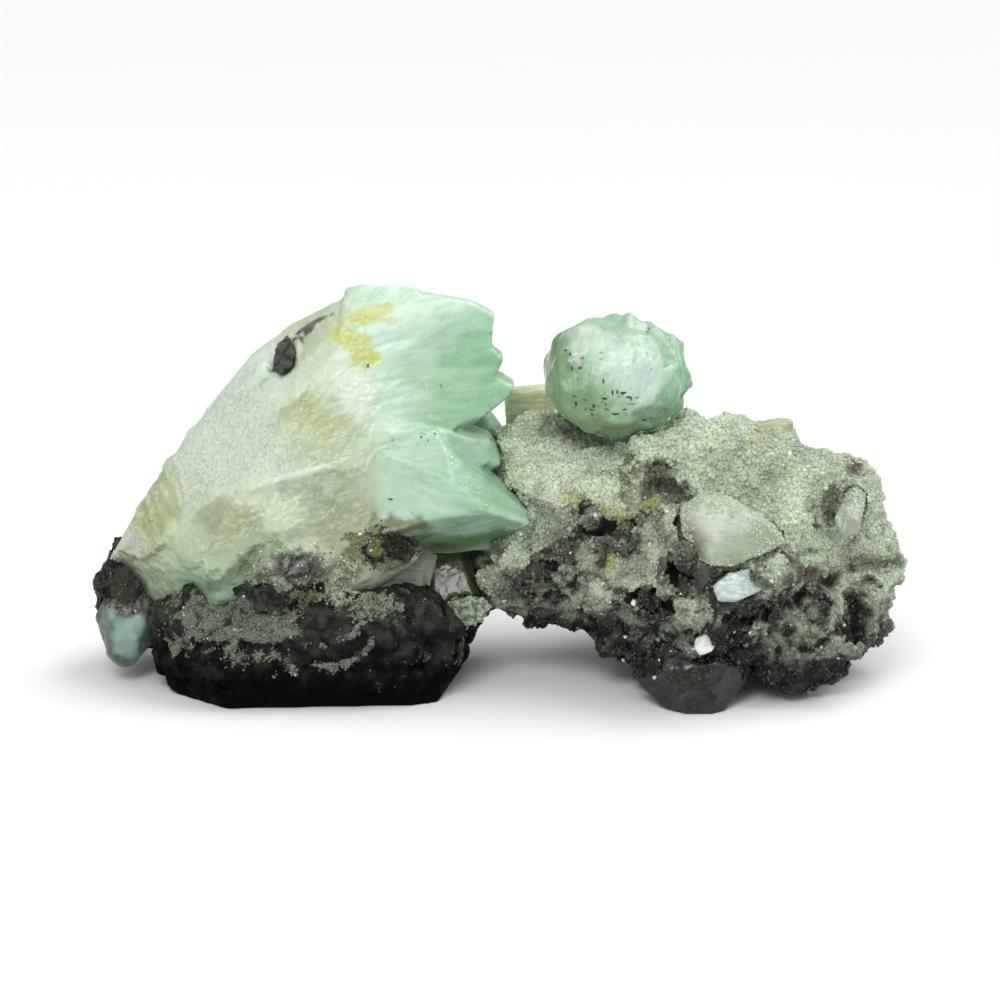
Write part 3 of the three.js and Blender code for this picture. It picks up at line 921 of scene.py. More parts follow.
@dataclass
class Grains:
    """Small crystals grown on a surface: one is modelled and then copied in many sizes and turns.

    `least` and `most` are their widths in millimetres, `tall` their height for their width, `lean` how
    far they tip, `sink` how deep they stand in the surface for their height, `bright` the share that
    are made nearly white as painted glints, `uneven` how much the others differ in tone and `rarity` how
    much rarer the wide ones are.
    """

    name: str
    shape: GrainShape
    count: int
    least: float
    most: float
    seed: int
    tall: float = 1.0
    lean: float = 0.6
    sink: float = 0.45
    bright: float = 0.02
    uneven: float = 0.2
    rarity: float = 1.6

    def model(self) -> tuple[np.ndarray, list[list[int]]]:
        """Models one crystal of unit size.

        Returns:
            Its points and its faces.
        """
        chip = self.shape is GrainShape.CHIP
        bpy.ops.object.select_all(action="DESELECT")
        if chip:
            bpy.ops.mesh.primitive_cone_add(vertices=4, radius1=0.6, radius2=0.0, depth=1.0)
        else:
            bpy.ops.mesh.primitive_cylinder_add(vertices=4, radius=0.55, depth=1.0)
        piece = bpy.context.object
        bpy.ops.object.mode_set(mode="EDIT")
        bpy.ops.mesh.select_all(action="DESELECT")
        bpy.ops.object.mode_set(mode="OBJECT")
        for face in piece.data.polygons:
            face.select = chip or face.normal.z > 0.9
        bpy.ops.object.mode_set(mode="EDIT")
        bpy.ops.mesh.select_mode(type="FACE")
        bpy.ops.transform.resize(value=(1.15, 0.85, 1.0) if chip else (0.72, 0.9, 1.0))
        bpy.ops.object.mode_set(mode="OBJECT")
        points = np.array([v.co[:] for v in piece.data.vertices])
        faces = [list(face.vertices) for face in piece.data.polygons]
        bpy.data.objects.remove(piece, do_unlink=True)
        return points, faces

    def grow(self, shell: Shell, tints: np.ndarray, where: np.ndarray | None = None) -> bpy.types.Object:
        """Grows the crystals on a surface.

        Args:
            shell: The surface.
            tints: Colour at each of its points.
            where: How thickly they grow at each point, or None for evenly.

        Returns:
            One object that holds them all.
        """
        chance = np.random.default_rng(self.seed)
        rows = shell.triangles()
        corners = shell.points[rows]
        crossed = np.cross(corners[:, 1] - corners[:, 0], corners[:, 2] - corners[:, 0])
        weight = np.linalg.norm(crossed, axis=1)
        if where is not None:
            weight = weight * where[rows].mean(axis=1)
        chosen = chance.choice(len(rows), self.count, p=weight / weight.sum())
        along = np.sqrt(chance.random(self.count))
        across = chance.random(self.count)
        shares = np.stack([1 - along, along * (1 - across), along * across], axis=1)
        place = np.einsum("ij,ijk->ik", shares, corners[chosen])
        out = shell.normals[rows[chosen]].mean(axis=1) + self.lean * chance.normal(size=(self.count, 3))
        out /= np.linalg.norm(out, axis=1)[:, None]
        side = np.cross(out, chance.normal(size=(self.count, 3)))
        side /= np.linalg.norm(side, axis=1)[:, None]
        third = np.cross(out, side)
        wide = self.least + (self.most - self.least) * chance.random(self.count) ** self.rarity
        high = wide * self.tall * (0.75 + 0.5 * chance.random(self.count))
        model, faces = self.model()
        turned = (
            side[:, None] * (model[None, :, 0, None] * wide[:, None, None])
            + third[:, None] * (model[None, :, 1, None] * wide[:, None, None])
            + out[:, None] * ((model[None, :, 2, None] + 0.5 - self.sink) * high[:, None, None])
        )
        points = place[:, None] + turned
        points[:, :, 2] = np.maximum(points[:, :, 2], 0.0)
        tint = tints[rows[chosen]].mean(axis=1)
        tint = tint * (1.0 + self.uneven * (chance.random((self.count, 1)) - 0.5))
        # A few crystals are made nearly white: painted glints.
        glinting = chance.random(self.count) < self.bright
        tint[glinting] = np.array(PAINTED_GLINT)
        return self.gather(points, faces, np.clip(tint, 0, 1))

    def gather(self, points: np.ndarray, faces: list[list[int]], tint: np.ndarray) -> bpy.types.Object:
        """Puts all crystals into one mesh.

        Args:
            points: Corner places, crystal by crystal.
            faces: Faces of one crystal.
            tint: Colour of each crystal.

        Returns:
            The new object.
        """
        count, size = points.shape[:2]
        sides = np.array([len(face) for face in faces])
        loops = np.concatenate([np.array(face) for face in faces])
        every = (loops[None] + size * np.arange(count)[:, None]).ravel()
        starts = np.concatenate([[0], np.cumsum(np.tile(sides, count))[:-1]])
        mesh = bpy.data.meshes.new(self.name)
        mesh.vertices.add(count * size)
        mesh.vertices.foreach_set("co", (points.reshape(-1) * MM))
        mesh.loops.add(len(every))
        mesh.loops.foreach_set("vertex_index", every.astype(np.int32))
        mesh.polygons.add(count * len(faces))
        mesh.polygons.foreach_set("loop_start", starts.astype(np.int32))
        mesh.update(calc_edges=True)
        mesh.validate()
        piece = bpy.data.objects.new(self.name, mesh)
        bpy.context.collection.objects.link(piece)
        attribute = mesh.attributes.new("tint", "FLOAT_COLOR", "POINT")
        four = np.ones((count * size, 4), dtype=np.float32)
        four[:, :3] = np.repeat(tint, size, axis=0)
        attribute.data.foreach_set("color", four.ravel())
        return piece


def dress(piece: bpy.types.Object, slot: str, finish: bpy.types.Material, *nodes: str) -> None:
    """Gives a piece its finish and its place in the model.

    Args:
        piece: The finished piece.
        slot: Not used.
        finish: Its material.
        *nodes: CAD nodes that it stands for.
    """
    piece.data.materials.clear()
    piece.data.materials.append(finish)
    if nodes:
        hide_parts(*nodes)
    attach(piece, "root")
    count = sum(len(face.vertices) - 2 for face in piece.data.polygons)
    LOG.info("%s: %d triangles", piece.name, count)


PALE = linear(192, 205, 180)
GREY = linear(160, 171, 150)
SHADOW = linear(70, 75, 62)
# Near black: painted shade in hollows, clefts and at the foot, and the black rock and dark patches of the
# mass.
DARK_AND_SHADE = linear(26, 26, 21)
OCHRE = linear(170, 174, 112)
SLATE = linear(66, 70, 62)
# Nearly white colour of the painted glints on small crystals.
PAINTED_GLINT = linear(236, 242, 234)
RIM = (
    (8.2, -7.6, 26.2), (11.5, -8.8, 24.9), (13.4, -9.3, 23.9), (15.3, -9.3, 23.3), (17.4, -8.6, 24.0),
    (19.8, -8.6, 25.4),
)
CLEFT = ((19.6, -9.6, 24.6), (23.0, -14.0, 23.4), (24.2, -18.0, 20.6))
CRACK = ((15.8, -7.4, 31.2), (15.8, -7.6, 27.2))


@dataclass
class DrusyMass:
    """The grey-green druse on the right and the neck that joins it to the basalt.

    `crests` holds each relief's pattern, size, height and share on the upper part. `lip` is the edge
    over the recess in the neck, each corner's place along the specimen and its height, and `light` the
    painted light on the top at three places along it. `plate` is the smooth pale patch in the recess.
    Heights and depths are in millimetres.
    """

    cell: float = 0.4
    crests: tuple[tuple[Pattern, float, float, float], ...] = (
        (Pattern.CREVICES, 8.5, 2.2, 0.35),
        (Pattern.CREVICES, 4.0, 1.3, 0.55),
        (Pattern.CREVICES, 1.9, 0.6, 0.9),
        (Pattern.CLOUDS, 0.9, 0.3, 1.0),
    )
    lip: tuple[tuple[float, float], ...] = (
        (0.0, 26.5), (4.9, 25.6), (9.4, 25.0), (13.0, 23.6), (15.9, 23.0), (19.5, 25.2),
    )
    light: tuple[tuple[float, float], ...] = ((7.0, 0.14), (25.0, 0.19), (42.0, -0.05))
    hollows: tuple[Mark, ...] = (
        Spot((20.4, -8.2, 28.6), (2.8, 4.0, 2.2), share=1.3, ragged=0.8),
        Spot((22.8, -10.0, 27.0), (1.6, 4.0, 1.4), share=1.1, ragged=0.8),
        Streak(CLEFT, 1.0, share=1.9),
        Spot((13.8, -9.6, 22.0), (2.4, 4.0, 0.9), share=1.4, ragged=0.8),
        Spot((6.2, -10.4, 16.6), (2.4, 4.0, 1.5), share=1.5, ragged=0.8),
        Spot((7.6, -9.4, 18.8), (1.9, 4.0, 1.8), share=-0.9, ragged=0.4),
        Spot((23.2, -16.6, 17.8), (1.8, 4.0, 2.0), share=1.9, ragged=0.6),
        Spot((19.6, -15.0, 14.2), (3.0, 4.0, 1.7), share=1.6, ragged=0.8),
        Spot((36.0, -17.0, 13.6), (6.0, 5.0, 1.4), share=1.7, ragged=0.6),
        Spot((46.0, -12.0, 11.6), (1.4, 5.0, 2.8), share=2.2),
        Spot((29.4, -19.0, 10.6), (2.0, 5.0, 4.0), share=1.6, ragged=0.6),
        Spot((43.0, -10.0, 25.0), (1.4, 4.0, 2.4), share=1.2),
        Streak(RIM, 0.9, share=-0.6),
        Streak(CRACK, 0.5, share=0.8, ragged=0.2),
        Streak(((49.6, -10.0, 15.0), (47.0, -11.0, 14.6)), 0.8, share=1.2),
    )
    # Dark marks: painted shade in the pressed hollows and clefts, at the foot and under the ball, among the
    # mass's own dark brown patches, its ochre rim and pale patches.
    dark: tuple[Mark, ...] = (
        Spot((20.0, -8.2, 29.6), (2.4, 5.0, 1.6), linear(86, 80, 64), 0.85, 1.1),
        Spot((22.6, -10.0, 26.8), (1.8, 5.0, 1.4), linear(58, 52, 42), 0.85, 1.0),
        Spot((18.6, -8.6, 26.4), (0.8, 5.0, 1.2), SHADOW, 0.8, 0.8),
        Streak(CLEFT, 0.7, DARK_AND_SHADE, 0.85, 0.7),
        Spot((21.4, -12.0, 22.4), (2.6, 6.0, 1.2), SHADOW, 0.6, 1.0),
        Spot((14.0, -9.6, 22.0), (2.6, 4.0, 0.9), DARK_AND_SHADE, 0.85, 0.8),
        Spot((8.0, -10.4, 20.6), (4.0, 4.0, 1.8), SHADOW, 0.4, 1.3),
        Spot((7.6, -9.4, 18.6), (1.9, 4.0, 1.8), linear(132, 134, 112), 0.7, 0.5),
        Spot((6.4, -10.4, 16.6), (2.2, 5.0, 1.2), DARK_AND_SHADE, 0.75, 1.0),
        Spot((3.2, -9.0, 14.4), (3.6, 5.0, 2.2), SHADOW, 0.7, 1.1),
        Spot((23.4, -16.6, 17.8), (1.5, 5.0, 1.9), DARK_AND_SHADE, 0.9, 0.8),
        Spot((19.8, -15.0, 14.2), (2.6, 5.0, 1.5), DARK_AND_SHADE, 0.7, 1.0),
        Spot((15.0, -14.0, 11.0), (4.0, 5.0, 1.8), SHADOW, 0.5, 1.0),
        Spot((36.0, -17.0, 14.2), (6.6, 6.0, 1.2), linear(44, 38, 34), 0.9, 0.9),
        Spot((40.4, -14.6, 16.4), (1.6, 5.0, 1.4), linear(84, 64, 56), 0.8, 0.8),
        Spot((46.2, -12.0, 11.4), (1.5, 6.0, 3.0), DARK_AND_SHADE, 0.95, 0.6),
        Spot((29.4, -19.0, 10.4), (1.8, 6.0, 3.8), DARK_AND_SHADE, 0.8, 0.8),
        Spot((48.6, -10.0, 17.6), (3.0, 6.0, 0.9), SHADOW, 0.8, 0.8),
        Spot((24.0, -17.0, 4.6), (16.0, 8.0, 2.2), DARK_AND_SHADE, 0.95, 0.6),
        Spot((40.0, -17.0, 3.2), (9.0, 8.0, 2.4), DARK_AND_SHADE, 0.85, 0.8),
        Spot((8.0, -11.0, 8.0), (8.0, 7.0, 2.2), DARK_AND_SHADE, 0.95, 0.7),
        Spot((43.0, -10.0, 24.8), (1.0, 5.0, 2.2), SHADOW, 0.8, 0.8),
        Streak(CRACK, 0.3, SHADOW, 0.7, 0.5),
        Streak(((29.0, -19.0, 27.4), (33.6, -19.4, 24.6)), 0.35, DARK_AND_SHADE, 0.8, 0.6),
        Streak(RIM, 0.8, OCHRE, 0.9, 0.7),
        Spot((13.4, -10.0, 18.4), (0.8, 3.0, 1.6), linear(160, 160, 76), 0.85, 0.8),
        Spot((33.0, -1.0, 32.6), (3.4, 5.0, 1.8), linear(160, 166, 116), 0.7, 0.7),
        Spot((46.0, -3.0, 29.4), (1.5, 5.0, 1.0), linear(74, 60, 46), 0.9),
        Spot((5.0, 0.0, 6.0), (12.0, 20.0, 2.6), DARK_AND_SHADE, 0.9, 0.5),
        # Painted shadow of the ball on the druse below it.
        Spot((8.2, -2.0, 33.2), (4.6, 7.0, 2.4), linear(64, 68, 54), 0.8, 0.5),
        Spot((13.5, -7.0, 31.4), (4.0, 4.0, 0.9), SHADOW, 0.6, 0.6),
        Spot((5.4, -5.0, 29.6), (5.0, 8.0, 3.4), linear(214, 224, 200), 0.7, 0.6),
    )
    plate: Spot = Spot((12.6, -7.8, 26.9), (3.1, 4.0, 1.9), linear(204, 216, 188), 0.95, 0.2, 0.25)
    recess: float = 1.2
    raised: float = 0.5

    def build(self) -> Shell:
        """Shapes the mass from its solid.

        Returns:
            The shaped surface.
        """
        shell = Shell.from_node("drusy_matrix", "druse_crust")
        shell.remesh(self.cell)
        shell.soften(4)
        ripple = uneven(shell.points, 2.5)
        shell.press(self.hollows, ripple)
        shell.push(-self.recess * self.below_lip(shell))
        for pattern, size, height, above in self.crests:
            low = smooth_step(-shell.points[:, 2], -25.0, -15.0)
            share = (above + (1.0 - above) * low) * (1.0 - self.smooth(shell.points))
            shell.relief(pattern, size, height, share)
        shell.push(self.raised * self.smooth(shell.points))
        return shell

    def smooth(self, points: np.ndarray) -> np.ndarray:
        """How much of the smooth patch lies on each point."""
        return self.plate.cover(points, uneven(points, 2.5))

    def below_lip(self, shell: Shell) -> np.ndarray:
        """Finds the recess under the lip that crosses the neck.

        Args:
            shell: The mass.

        Returns:
            How far each point lies in the recess, from 0 to 1.
        """
        points = shell.points
        edge = np.interp(points[:, 0], *zip(*self.lip))
        under = smooth_step(edge - points[:, 2] + 0.4 * uneven(points, 1.6, 3, 6.0), -0.3, 0.8)
        under *= 1.0 - 0.8 * smooth_step(edge - points[:, 2], 2.0, 8.0)
        under *= smooth_step(points[:, 0], -3.0, 2.0) * smooth_step(-points[:, 0], -20.0, -16.5)
        return under * smooth_step(-shell.normals[:, 1], 0.1, 0.5)

    def tints(self, shell: Shell) -> np.ndarray:
        """Colours the mass: pale above, with painted light on the top and painted shade in the hollows, under
        overhangs and towards the foot, where the rock under the druse is also black.

        Args:
            shell: The shaped mass.

        Returns:
            Colour at each point.
        """
        points = shell.points
        ripple = uneven(points, 3.0, 4, 5.0) + 0.4 * uneven(points, 1.0, 3, 1.0)
        fine = uneven(points, 0.9, 3, 9.0)
        low = smooth_step(-points[:, 2] + 3.0 * ripple, -18.0, -6.0)
        crest = smooth_step(shell.standing(10) + 0.1 * fine, -0.4, -0.04)
        broad = smooth_step(shell.standing(60) + 0.2 * fine, -1.2, 0.0)
        base = blend(PALE, GREY, np.clip(0.2 + 0.8 * low + 0.5 * ripple, 0, 1))
        base = blend(base, SHADOW, 0.35 * self.below_lip(shell))
        base = painted(points, base, [self.plate, *self.dark], ripple)
        middle = smooth_step(-points[:, 2] + 2.0 * ripple, -27.0, -19.0)
        # Painted shade: darker in crevices and broad hollows, more so lower down.
        depth = (1.0 - crest) * (0.2 + 0.35 * middle + 0.3 * low)
        depth += (1.0 - broad) * (0.05 + 0.25 * middle + 0.5 * low)
        base = blend(base, DARK_AND_SHADE, np.clip(depth, 0, 0.95))
        # Painted shade under overhangs, and near black at the foot: partly the black rock under the druse,
        # partly painted shade.
        beneath = smooth_step(-shell.normals[:, 2], 0.1, 0.6) * smooth_step(-points[:, 2], -16.0, -8.0)
        foot = smooth_step(-points[:, 2] + 1.5 * ripple, -6.5, -2.5)
        base = blend(base, DARK_AND_SHADE, 0.85 * np.maximum(beneath, foot))
        # Painted light on the top and painted shade lower down.
        light = np.interp(points[:, 0], *zip(*self.light))
        light = light * smooth_step(points[:, 2] + ripple, 23.0, 30.0) + 0.2 * uneven(points, 5.0, 5, 2.0)
        return base * (1.0 - 0.5 * low + light)[:, None]

    def make(self) -> None:
        """Builds and dresses the crust and its small crystals."""
        shell = self.build()
        tints = self.tints(shell)
        shell.keep("tint", np.clip(tints, 0, 1))
        dress(shell.piece, "druse", DruseFinish().build(), "drusy_matrix")
        finish = GrainFinish().build()
        thick = np.clip(0.25 + tints.mean(axis=1) * 3.0, 0, 1) * (1.0 - self.smooth(shell.points))
        for grains in (
            Grains("druse_chips", GrainShape.CHIP, 26000, 0.28, 0.62, 3, 0.9, 0.8, 0.45, bright=0.01),
            Grains("druse_blocks", GrainShape.BLOCK, 9400, 0.32, 0.74, 4, 0.8, 0.7, 0.5, bright=0.01),
        ):
            dress(grains.grow(shell, np.clip(tints * 1.04, 0, 1), thick), "druse", finish)


PIT = (-30.0, -14.3, 14.3)
GROOVE = ((-23.2, -17.4, 7.3), (-20.2, -17.4, 8.2), (-17.8, -17.0, 9.5))


@dataclass
class BasaltBlock:
    """The black basalt that the spray stands on, powdered grey-green on its upper left.

    `powder` says where powder lies, `pale` its colour there and `bare` where none lies. `crumbs` is
    where crystals grow without powder.
    """

    cell: float = 0.4
    powder: tuple[Mark, ...] = (
        Spot((-36.0, -14.0, 12.0), (6.4, 7.0, 3.2), share=1.35, ragged=0.7),
        Spot((-30.4, -15.0, 11.0), (3.8, 7.0, 2.8), share=1.35, ragged=0.5),
        Spot((-31.4, -12.0, 17.4), (2.0, 4.0, 2.0), ragged=0.6),
        Spot((-35.6, -12.0, 15.4), (3.4, 4.0, 1.6), share=0.7, ragged=0.8),
        Spot((-33.0, -15.0, 7.6), (8.0, 5.0, 1.6), share=0.7, ragged=1.2),
        Spot((-42.6, -10.0, 8.0), (2.2, 5.0, 2.0), share=0.8, ragged=0.8),
        Spot((-25.0, -13.0, 14.2), (2.6, 4.0, 1.3), share=0.75, ragged=0.9),
        Spot((-21.0, -12.0, 15.4), (2.6, 4.0, 3.4), share=1.3, ragged=0.4),
        Spot((-16.6, -13.0, 12.6), (3.9, 4.0, 1.6), share=1.1, ragged=0.6),
        Streak(
            ((-23.8, -17.4, 8.6), (-20.4, -17.2, 9.7), (-16.8, -17.0, 10.4)), 0.55, share=0.95, ragged=0.6
        ),
        Streak(
            ((-24.6, -17.4, 6.8), (-21.4, -17.4, 5.6), (-18.8, -17.2, 7.0), (-16.8, -17.0, 9.2)),
            0.65, share=0.95, ragged=0.6,
        ),
        Spot((-11.0, -14.0, 8.0), (6.0, 7.0, 4.6), share=0.3, ragged=1.4),
        Spot((-10.7, -14.5, 5.9), (0.9, 3.0, 1.2), share=0.8, ragged=0.4),
        Spot((-5.2, -10.0, 4.6), (1.2, 7.0, 2.6), share=0.6, ragged=0.6),
        Spot((-50.6, -4.0, 12.0), (4.6, 8.0, 6.0), share=0.7, ragged=1.2),
        Spot((-28.0, 14.0, 18.0), (16.0, 9.0, 9.0), share=0.55),
    )
    pale: tuple[Mark, ...] = (
        Spot((-35.6, -12.0, 15.4), (3.6, 4.0, 1.8), linear(96, 92, 78), 0.9),
        Spot((-31.4, -12.0, 17.4), (2.2, 4.0, 2.2), linear(150, 164, 138), 0.9),
        Spot((-25.0, -13.0, 14.2), (3.0, 4.0, 1.6), linear(112, 108, 74), 0.9),
        Spot((-21.0, -12.0, 15.4), (3.0, 4.0, 3.8), linear(186, 202, 170), 0.95, 0.3),
        Spot((-16.6, -13.0, 12.6), (4.2, 4.0, 1.8), linear(146, 162, 136), 0.9),
        Spot((-11.0, -14.0, 7.0), (6.0, 7.0, 4.6), linear(66, 76, 70), 0.9),
        Spot((-5.2, -10.0, 4.6), (1.4, 7.0, 2.8), linear(112, 106, 82), 0.9),
        Spot((-50.6, -4.0, 12.0), (6.0, 8.0, 8.0), linear(66, 56, 38), 0.95),
    )
    hollows: tuple[Mark, ...] = (
        Spot(PIT, (2.2, 4.0, 1.4), share=1.9),
        Streak(GROOVE, 0.7, share=1.4),
        Streak(((-39.0, -15.0, 8.4), (-33.0, -16.6, 8.2), (-28.6, -17.0, 8.0)), 0.6, share=0.8, ragged=0.8),
        Spot((-44.6, -9.0, 6.0), (2.0, 4.0, 1.2), share=0.6),
    )
    bare: tuple[Mark, ...] = (Spot(PIT, (2.4, 4.0, 1.5)), Streak(GROOVE, 0.6))
    crumbs: Spot = Spot((-25.6, -13.0, 16.4), (3.0, 5.0, 2.8), share=0.08)
    powdered: Colour = linear(128, 138, 118)

    def build(self) -> Shell:
        """Shapes the block from its solid: broken flats and pits, and less relief towards the foot.

        Returns:
            The shaped surface.
        """
        shell = Shell.from_node("basalt_matrix", "basalt_block")
        shell.remesh(self.cell)
        shell.soften(3)
        above = smooth_step(shell.points[:, 2], 0.15, 1.6)
        rise = smooth_step(shell.points[:, 2], 3.5, 7.5)
        shell.press(self.hollows, uneven(shell.points, 2.0))
        broken, _ = facets(shell.points, (1.0, 0.0, 0.15), (5.0, 2.6, 4.0), 31)
        shell.push(0.45 * broken * above)
        shell.relief(Pattern.CREVICES, 4.2, 1.1, above)
        shell.relief(Pattern.CLOUDS, 1.6, 0.8, above * (0.4 + 0.6 * rise))
        shell.relief(Pattern.CLOUDS, 0.7, 0.45, above * (0.4 + 0.6 * rise))
        return shell

    def powder_on(self, shell: Shell, ripple: np.ndarray) -> np.ndarray:
        """Spreads the powder, more on crests than in hollows.

        Args:
            shell: The shaped block.
            ripple: Unevenness at each point.

        Returns:
            How thickly it lies at each point.
        """
        lies = covered(shell.points, self.powder, ripple + 0.6 * uneven(shell.points, 0.9, 3, 6.0))
        for mark in self.bare:
            lies *= 1.0 - mark.cover(shell.points, ripple)
        lies = lies * (0.5 + 0.6 * smooth_step(shell.standing(8), -0.2, 0.1))
        return np.clip(lies * (0.9 + 0.8 * uneven(shell.points, 1.5, 4, 3.0)), 0.0, 1.5)

    def make(self) -> None:
        """Builds and dresses the block and the small crystals in its powder."""
        shell = self.build()
        ripple = uneven(shell.points, 2.2, 4)
        lies = self.powder_on(shell, ripple)
        dust = painted(shell.points, shell.all_over(self.powdered), self.pale, ripple)
        shell.keep("powder", lies)
        shell.keep("tint", dust)
        dress(shell.piece, "basalt", BasaltFinish().build(), "basalt_matrix")
        grains = Grains("basalt_chips", GrainShape.CHIP, 9000, 0.2, 0.4, 8, 0.8, 0.9, 0.5, 0.012, 0.5)
        thick = np.clip(lies * (0.9 + 0.7 * uneven(shell.points, 1.2, 3, 4.0)), 0, 1) ** 3 + 2e-5
        thick += self.crumbs.cover(shell.points, ripple)
        tints = dust * (0.62 + 0.3 * smooth_step(uneven(shell.points, 0.8, 3, 2.0), -0.5, 0.5))[:, None]
        dress(grains.grow(shell, tints, thick), "druse", GrainFinish("powder_crystals", 0.4).build())


@dataclass
class BladeSpray:
    """The spray of pale green blades with its frosted back.

    `root` and `top` are the places from which the lines of the blades and of the body run. `comb` is
    the toothed far left end and `ledge` the edge that crosses the front, with the broken glassy face
    below it. The rest are its colours and where each lies. `shaped` fills the last four, which hold a
    value for each point: the tone of its crystal face, and its share of the broken face, of the body
    and of the comb.
    """

    cell: float = 0.3
    root: Triple = (-42.0, 3.5, 34.0)
    top: Triple = (-8.0, 0.0, 56.0)
    comb: Spot = Spot((-45.6, -5.0, 24.4), (3.8, 14.0, 5.4), ragged=0.3)
    ledge: tuple[tuple[float, float], ...] = (
        (-47.0, 17.0), (-42.0, 22.5), (-37.3, 26.0), (-34.2, 27.2), (-30.7, 28.0), (-27.5, 28.8),
        (-22.4, 29.9), (-18.5, 30.1), (-16.0, 30.0),
    )
    tints: tuple[Mark, ...] = (
        # Painted highlight along the ledge.
        Streak(
            (
                (-37.3, -8.6, 26.5), (-34.2, -9.6, 27.7), (-30.7, -9.5, 28.5), (-27.5, -9.0, 29.3),
                (-22.4, -8.2, 30.4),
            ),
            0.35, linear(240, 246, 232), 0.8, 0.3, 0.5,
        ),
        Spot((-35.5, -1.0, 36.0), (11.0, 20.0, 10.4), linear(226, 241, 224), 0.9, 0.3, 0.4),
        Streak(
            ((-21.5, -3.0, 44.0), (-28.4, -6.0, 35.5), (-35.0, -8.6, 28.6)),
            3.4, linear(214, 228, 202), 0.9, 0.5,
        ),
        Spot((-19.6, -3.6, 40.0), (2.4, 8.0, 5.4), linear(226, 236, 220), 0.9, 0.5),
        Spot((-25.6, -6.4, 34.4), (4.4, 6.0, 4.4), linear(184, 197, 154), 0.85, 0.6),
        Spot((-24.6, -5.6, 36.6), (3.2, 5.0, 1.8), linear(178, 188, 138), 0.8, 0.6),
        Spot((-21.4, -5.6, 35.6), (2.6, 5.0, 1.6), linear(180, 190, 138), 0.75, 0.7),
        Spot((-45.6, -5.0, 23.8), (3.8, 12.0, 5.0), linear(172, 180, 122), 0.9, 0.5),
        Spot((-41.0, -4.0, 26.4), (3.6, 8.0, 1.6), linear(196, 204, 150), 0.7, 0.7),
        Spot((-46.5, -6.0, 18.0), (4.0, 8.0, 2.6), linear(186, 202, 156), 0.7),
        Spot((-35.4, -10.6, 23.2), (4.2, 6.0, 3.4), linear(158, 170, 124), 0.85, 0.5),
        Spot((-21.0, -10.6, 23.0), (4.0, 6.0, 3.6), linear(160, 172, 126), 0.8, 0.6),
        Spot((-28.8, -10.7, 24.4), (3.4, 6.0, 2.6), linear(202, 214, 182), 0.8, 0.6),
        Spot((-40.6, -10.0, 21.4), (3.0, 6.0, 2.2), linear(200, 214, 178), 0.7),
        Spot((-40.0, -11.4, 17.8), (4.6, 6.0, 2.0), linear(184, 202, 160), 0.7),
        Spot((-33.0, -10.6, 27.0), (4.0, 6.0, 1.6), linear(206, 216, 186), 0.6, 0.6),
        Spot((-25.0, -12.0, 19.6), (3.6, 5.0, 1.8), linear(204, 214, 178), 0.8, 0.5),
        Spot((-39.0, -12.6, 15.2), (6.6, 6.0, 2.6), linear(132, 166, 134), 0.9, 0.4),
        # Painted shade where the body meets the basalt.
        Spot((-32.0, -12.8, 17.2), (4.6, 5.0, 1.2), linear(92, 106, 78), 0.8, 0.8),
        Streak(
            ((-34.0, -13.4, 17.4), (-31.4, -12.4, 19.4), (-29.4, -12.0, 20.8)),
            1.2, linear(138, 166, 112), 0.7, 0.9,
        ),
        Streak(
            ((-41.0, -12.6, 14.4), (-36.0, -13.4, 16.0), (-31.6, -12.4, 20.2)),
            1.2, linear(82, 102, 72), 0.9, 0.7,
        ),
        Spot((-30.4, -12.4, 17.4), (2.3, 6.0, 2.6), linear(142, 154, 128), 0.92, 0.7),
        Spot((-26.2, -12.4, 17.6), (3.2, 6.0, 2.6), linear(52, 50, 42), 0.94, 0.8),
        Spot((-24.6, -12.4, 15.4), (2.6, 6.0, 1.4), linear(104, 98, 66), 0.85, 0.9),
        Spot((-20.4, -12.0, 16.2), (2.6, 6.0, 2.6), linear(184, 198, 170), 0.9, 0.5),
        Spot((-13.4, -11.2, 22.8), (3.4, 5.0, 1.6), linear(116, 118, 72), 0.85, 0.8),
        Spot((-14.6, -12.0, 20.6), (3.0, 5.0, 1.8), linear(60, 58, 34), 0.8, 0.8),
        Spot((-16.6, -12.0, 20.4), (2.4, 5.0, 1.6), linear(150, 152, 84), 0.85, 0.6),
        # Darker green on the underside of the lowest blade: partly its own green, partly painted shade.
        Streak(
            ((-11.0, -9.0, 20.4), (-4.6, -7.4, 19.6), (-0.6, -8.2, 20.8)),
            1.7, linear(104, 142, 88), 0.9, 0.3, 0.6,
        ),
        Streak(((-11.6, -8.0, 19.4), (-6.0, -7.0, 18.6)), 1.2, linear(82, 100, 58), 0.9, 0.3, 0.5),
        Streak(
            ((-22.0, -0.2, 47.6), (-17.6, -0.4, 48.4), (-15.6, -0.2, 48.8)),
            1.3, linear(210, 216, 138), 0.95, 0.8, 0.2,
        ),
        Streak(
            ((-21.6, -1.4, 46.4), (-18.6, -2.0, 44.8), (-17.4, -2.6, 43.2)),
            1.7, linear(208, 214, 130), 0.95, 0.7, 0.2,
        ),
        Streak(((-15.4, 0.4, 47.2), (-11.0, 0.6, 48.0)), 1.4, linear(228, 242, 228), 0.6, 0.8, 0.7),
        Spot((-14.6, -1.0, 45.4), (2.2, 4.0, 1.6), linear(206, 232, 216), 0.8, 0.6),
        Streak(((-29.2, -1.6, 42.4), (-28.2, -1.6, 44.4), (-27.6, -0.8, 45.4)), 1.15, SLATE, 0.95, 0.8, 0.15),
        Streak(((-27.6, -1.4, 44.0), (-25.9, 1.0, 46.6)), 0.85, SLATE, 0.95, 0.6, 0.2),
        Streak(
            ((-22.3, 1.7, 48.2), (-24.3, 2.0, 47.3), (-26.7, 2.0, 45.9), (-28.4, -0.6, 44.2)),
            0.36, linear(70, 74, 64), 0.95, 0.8, 0.2,
        ),
    )
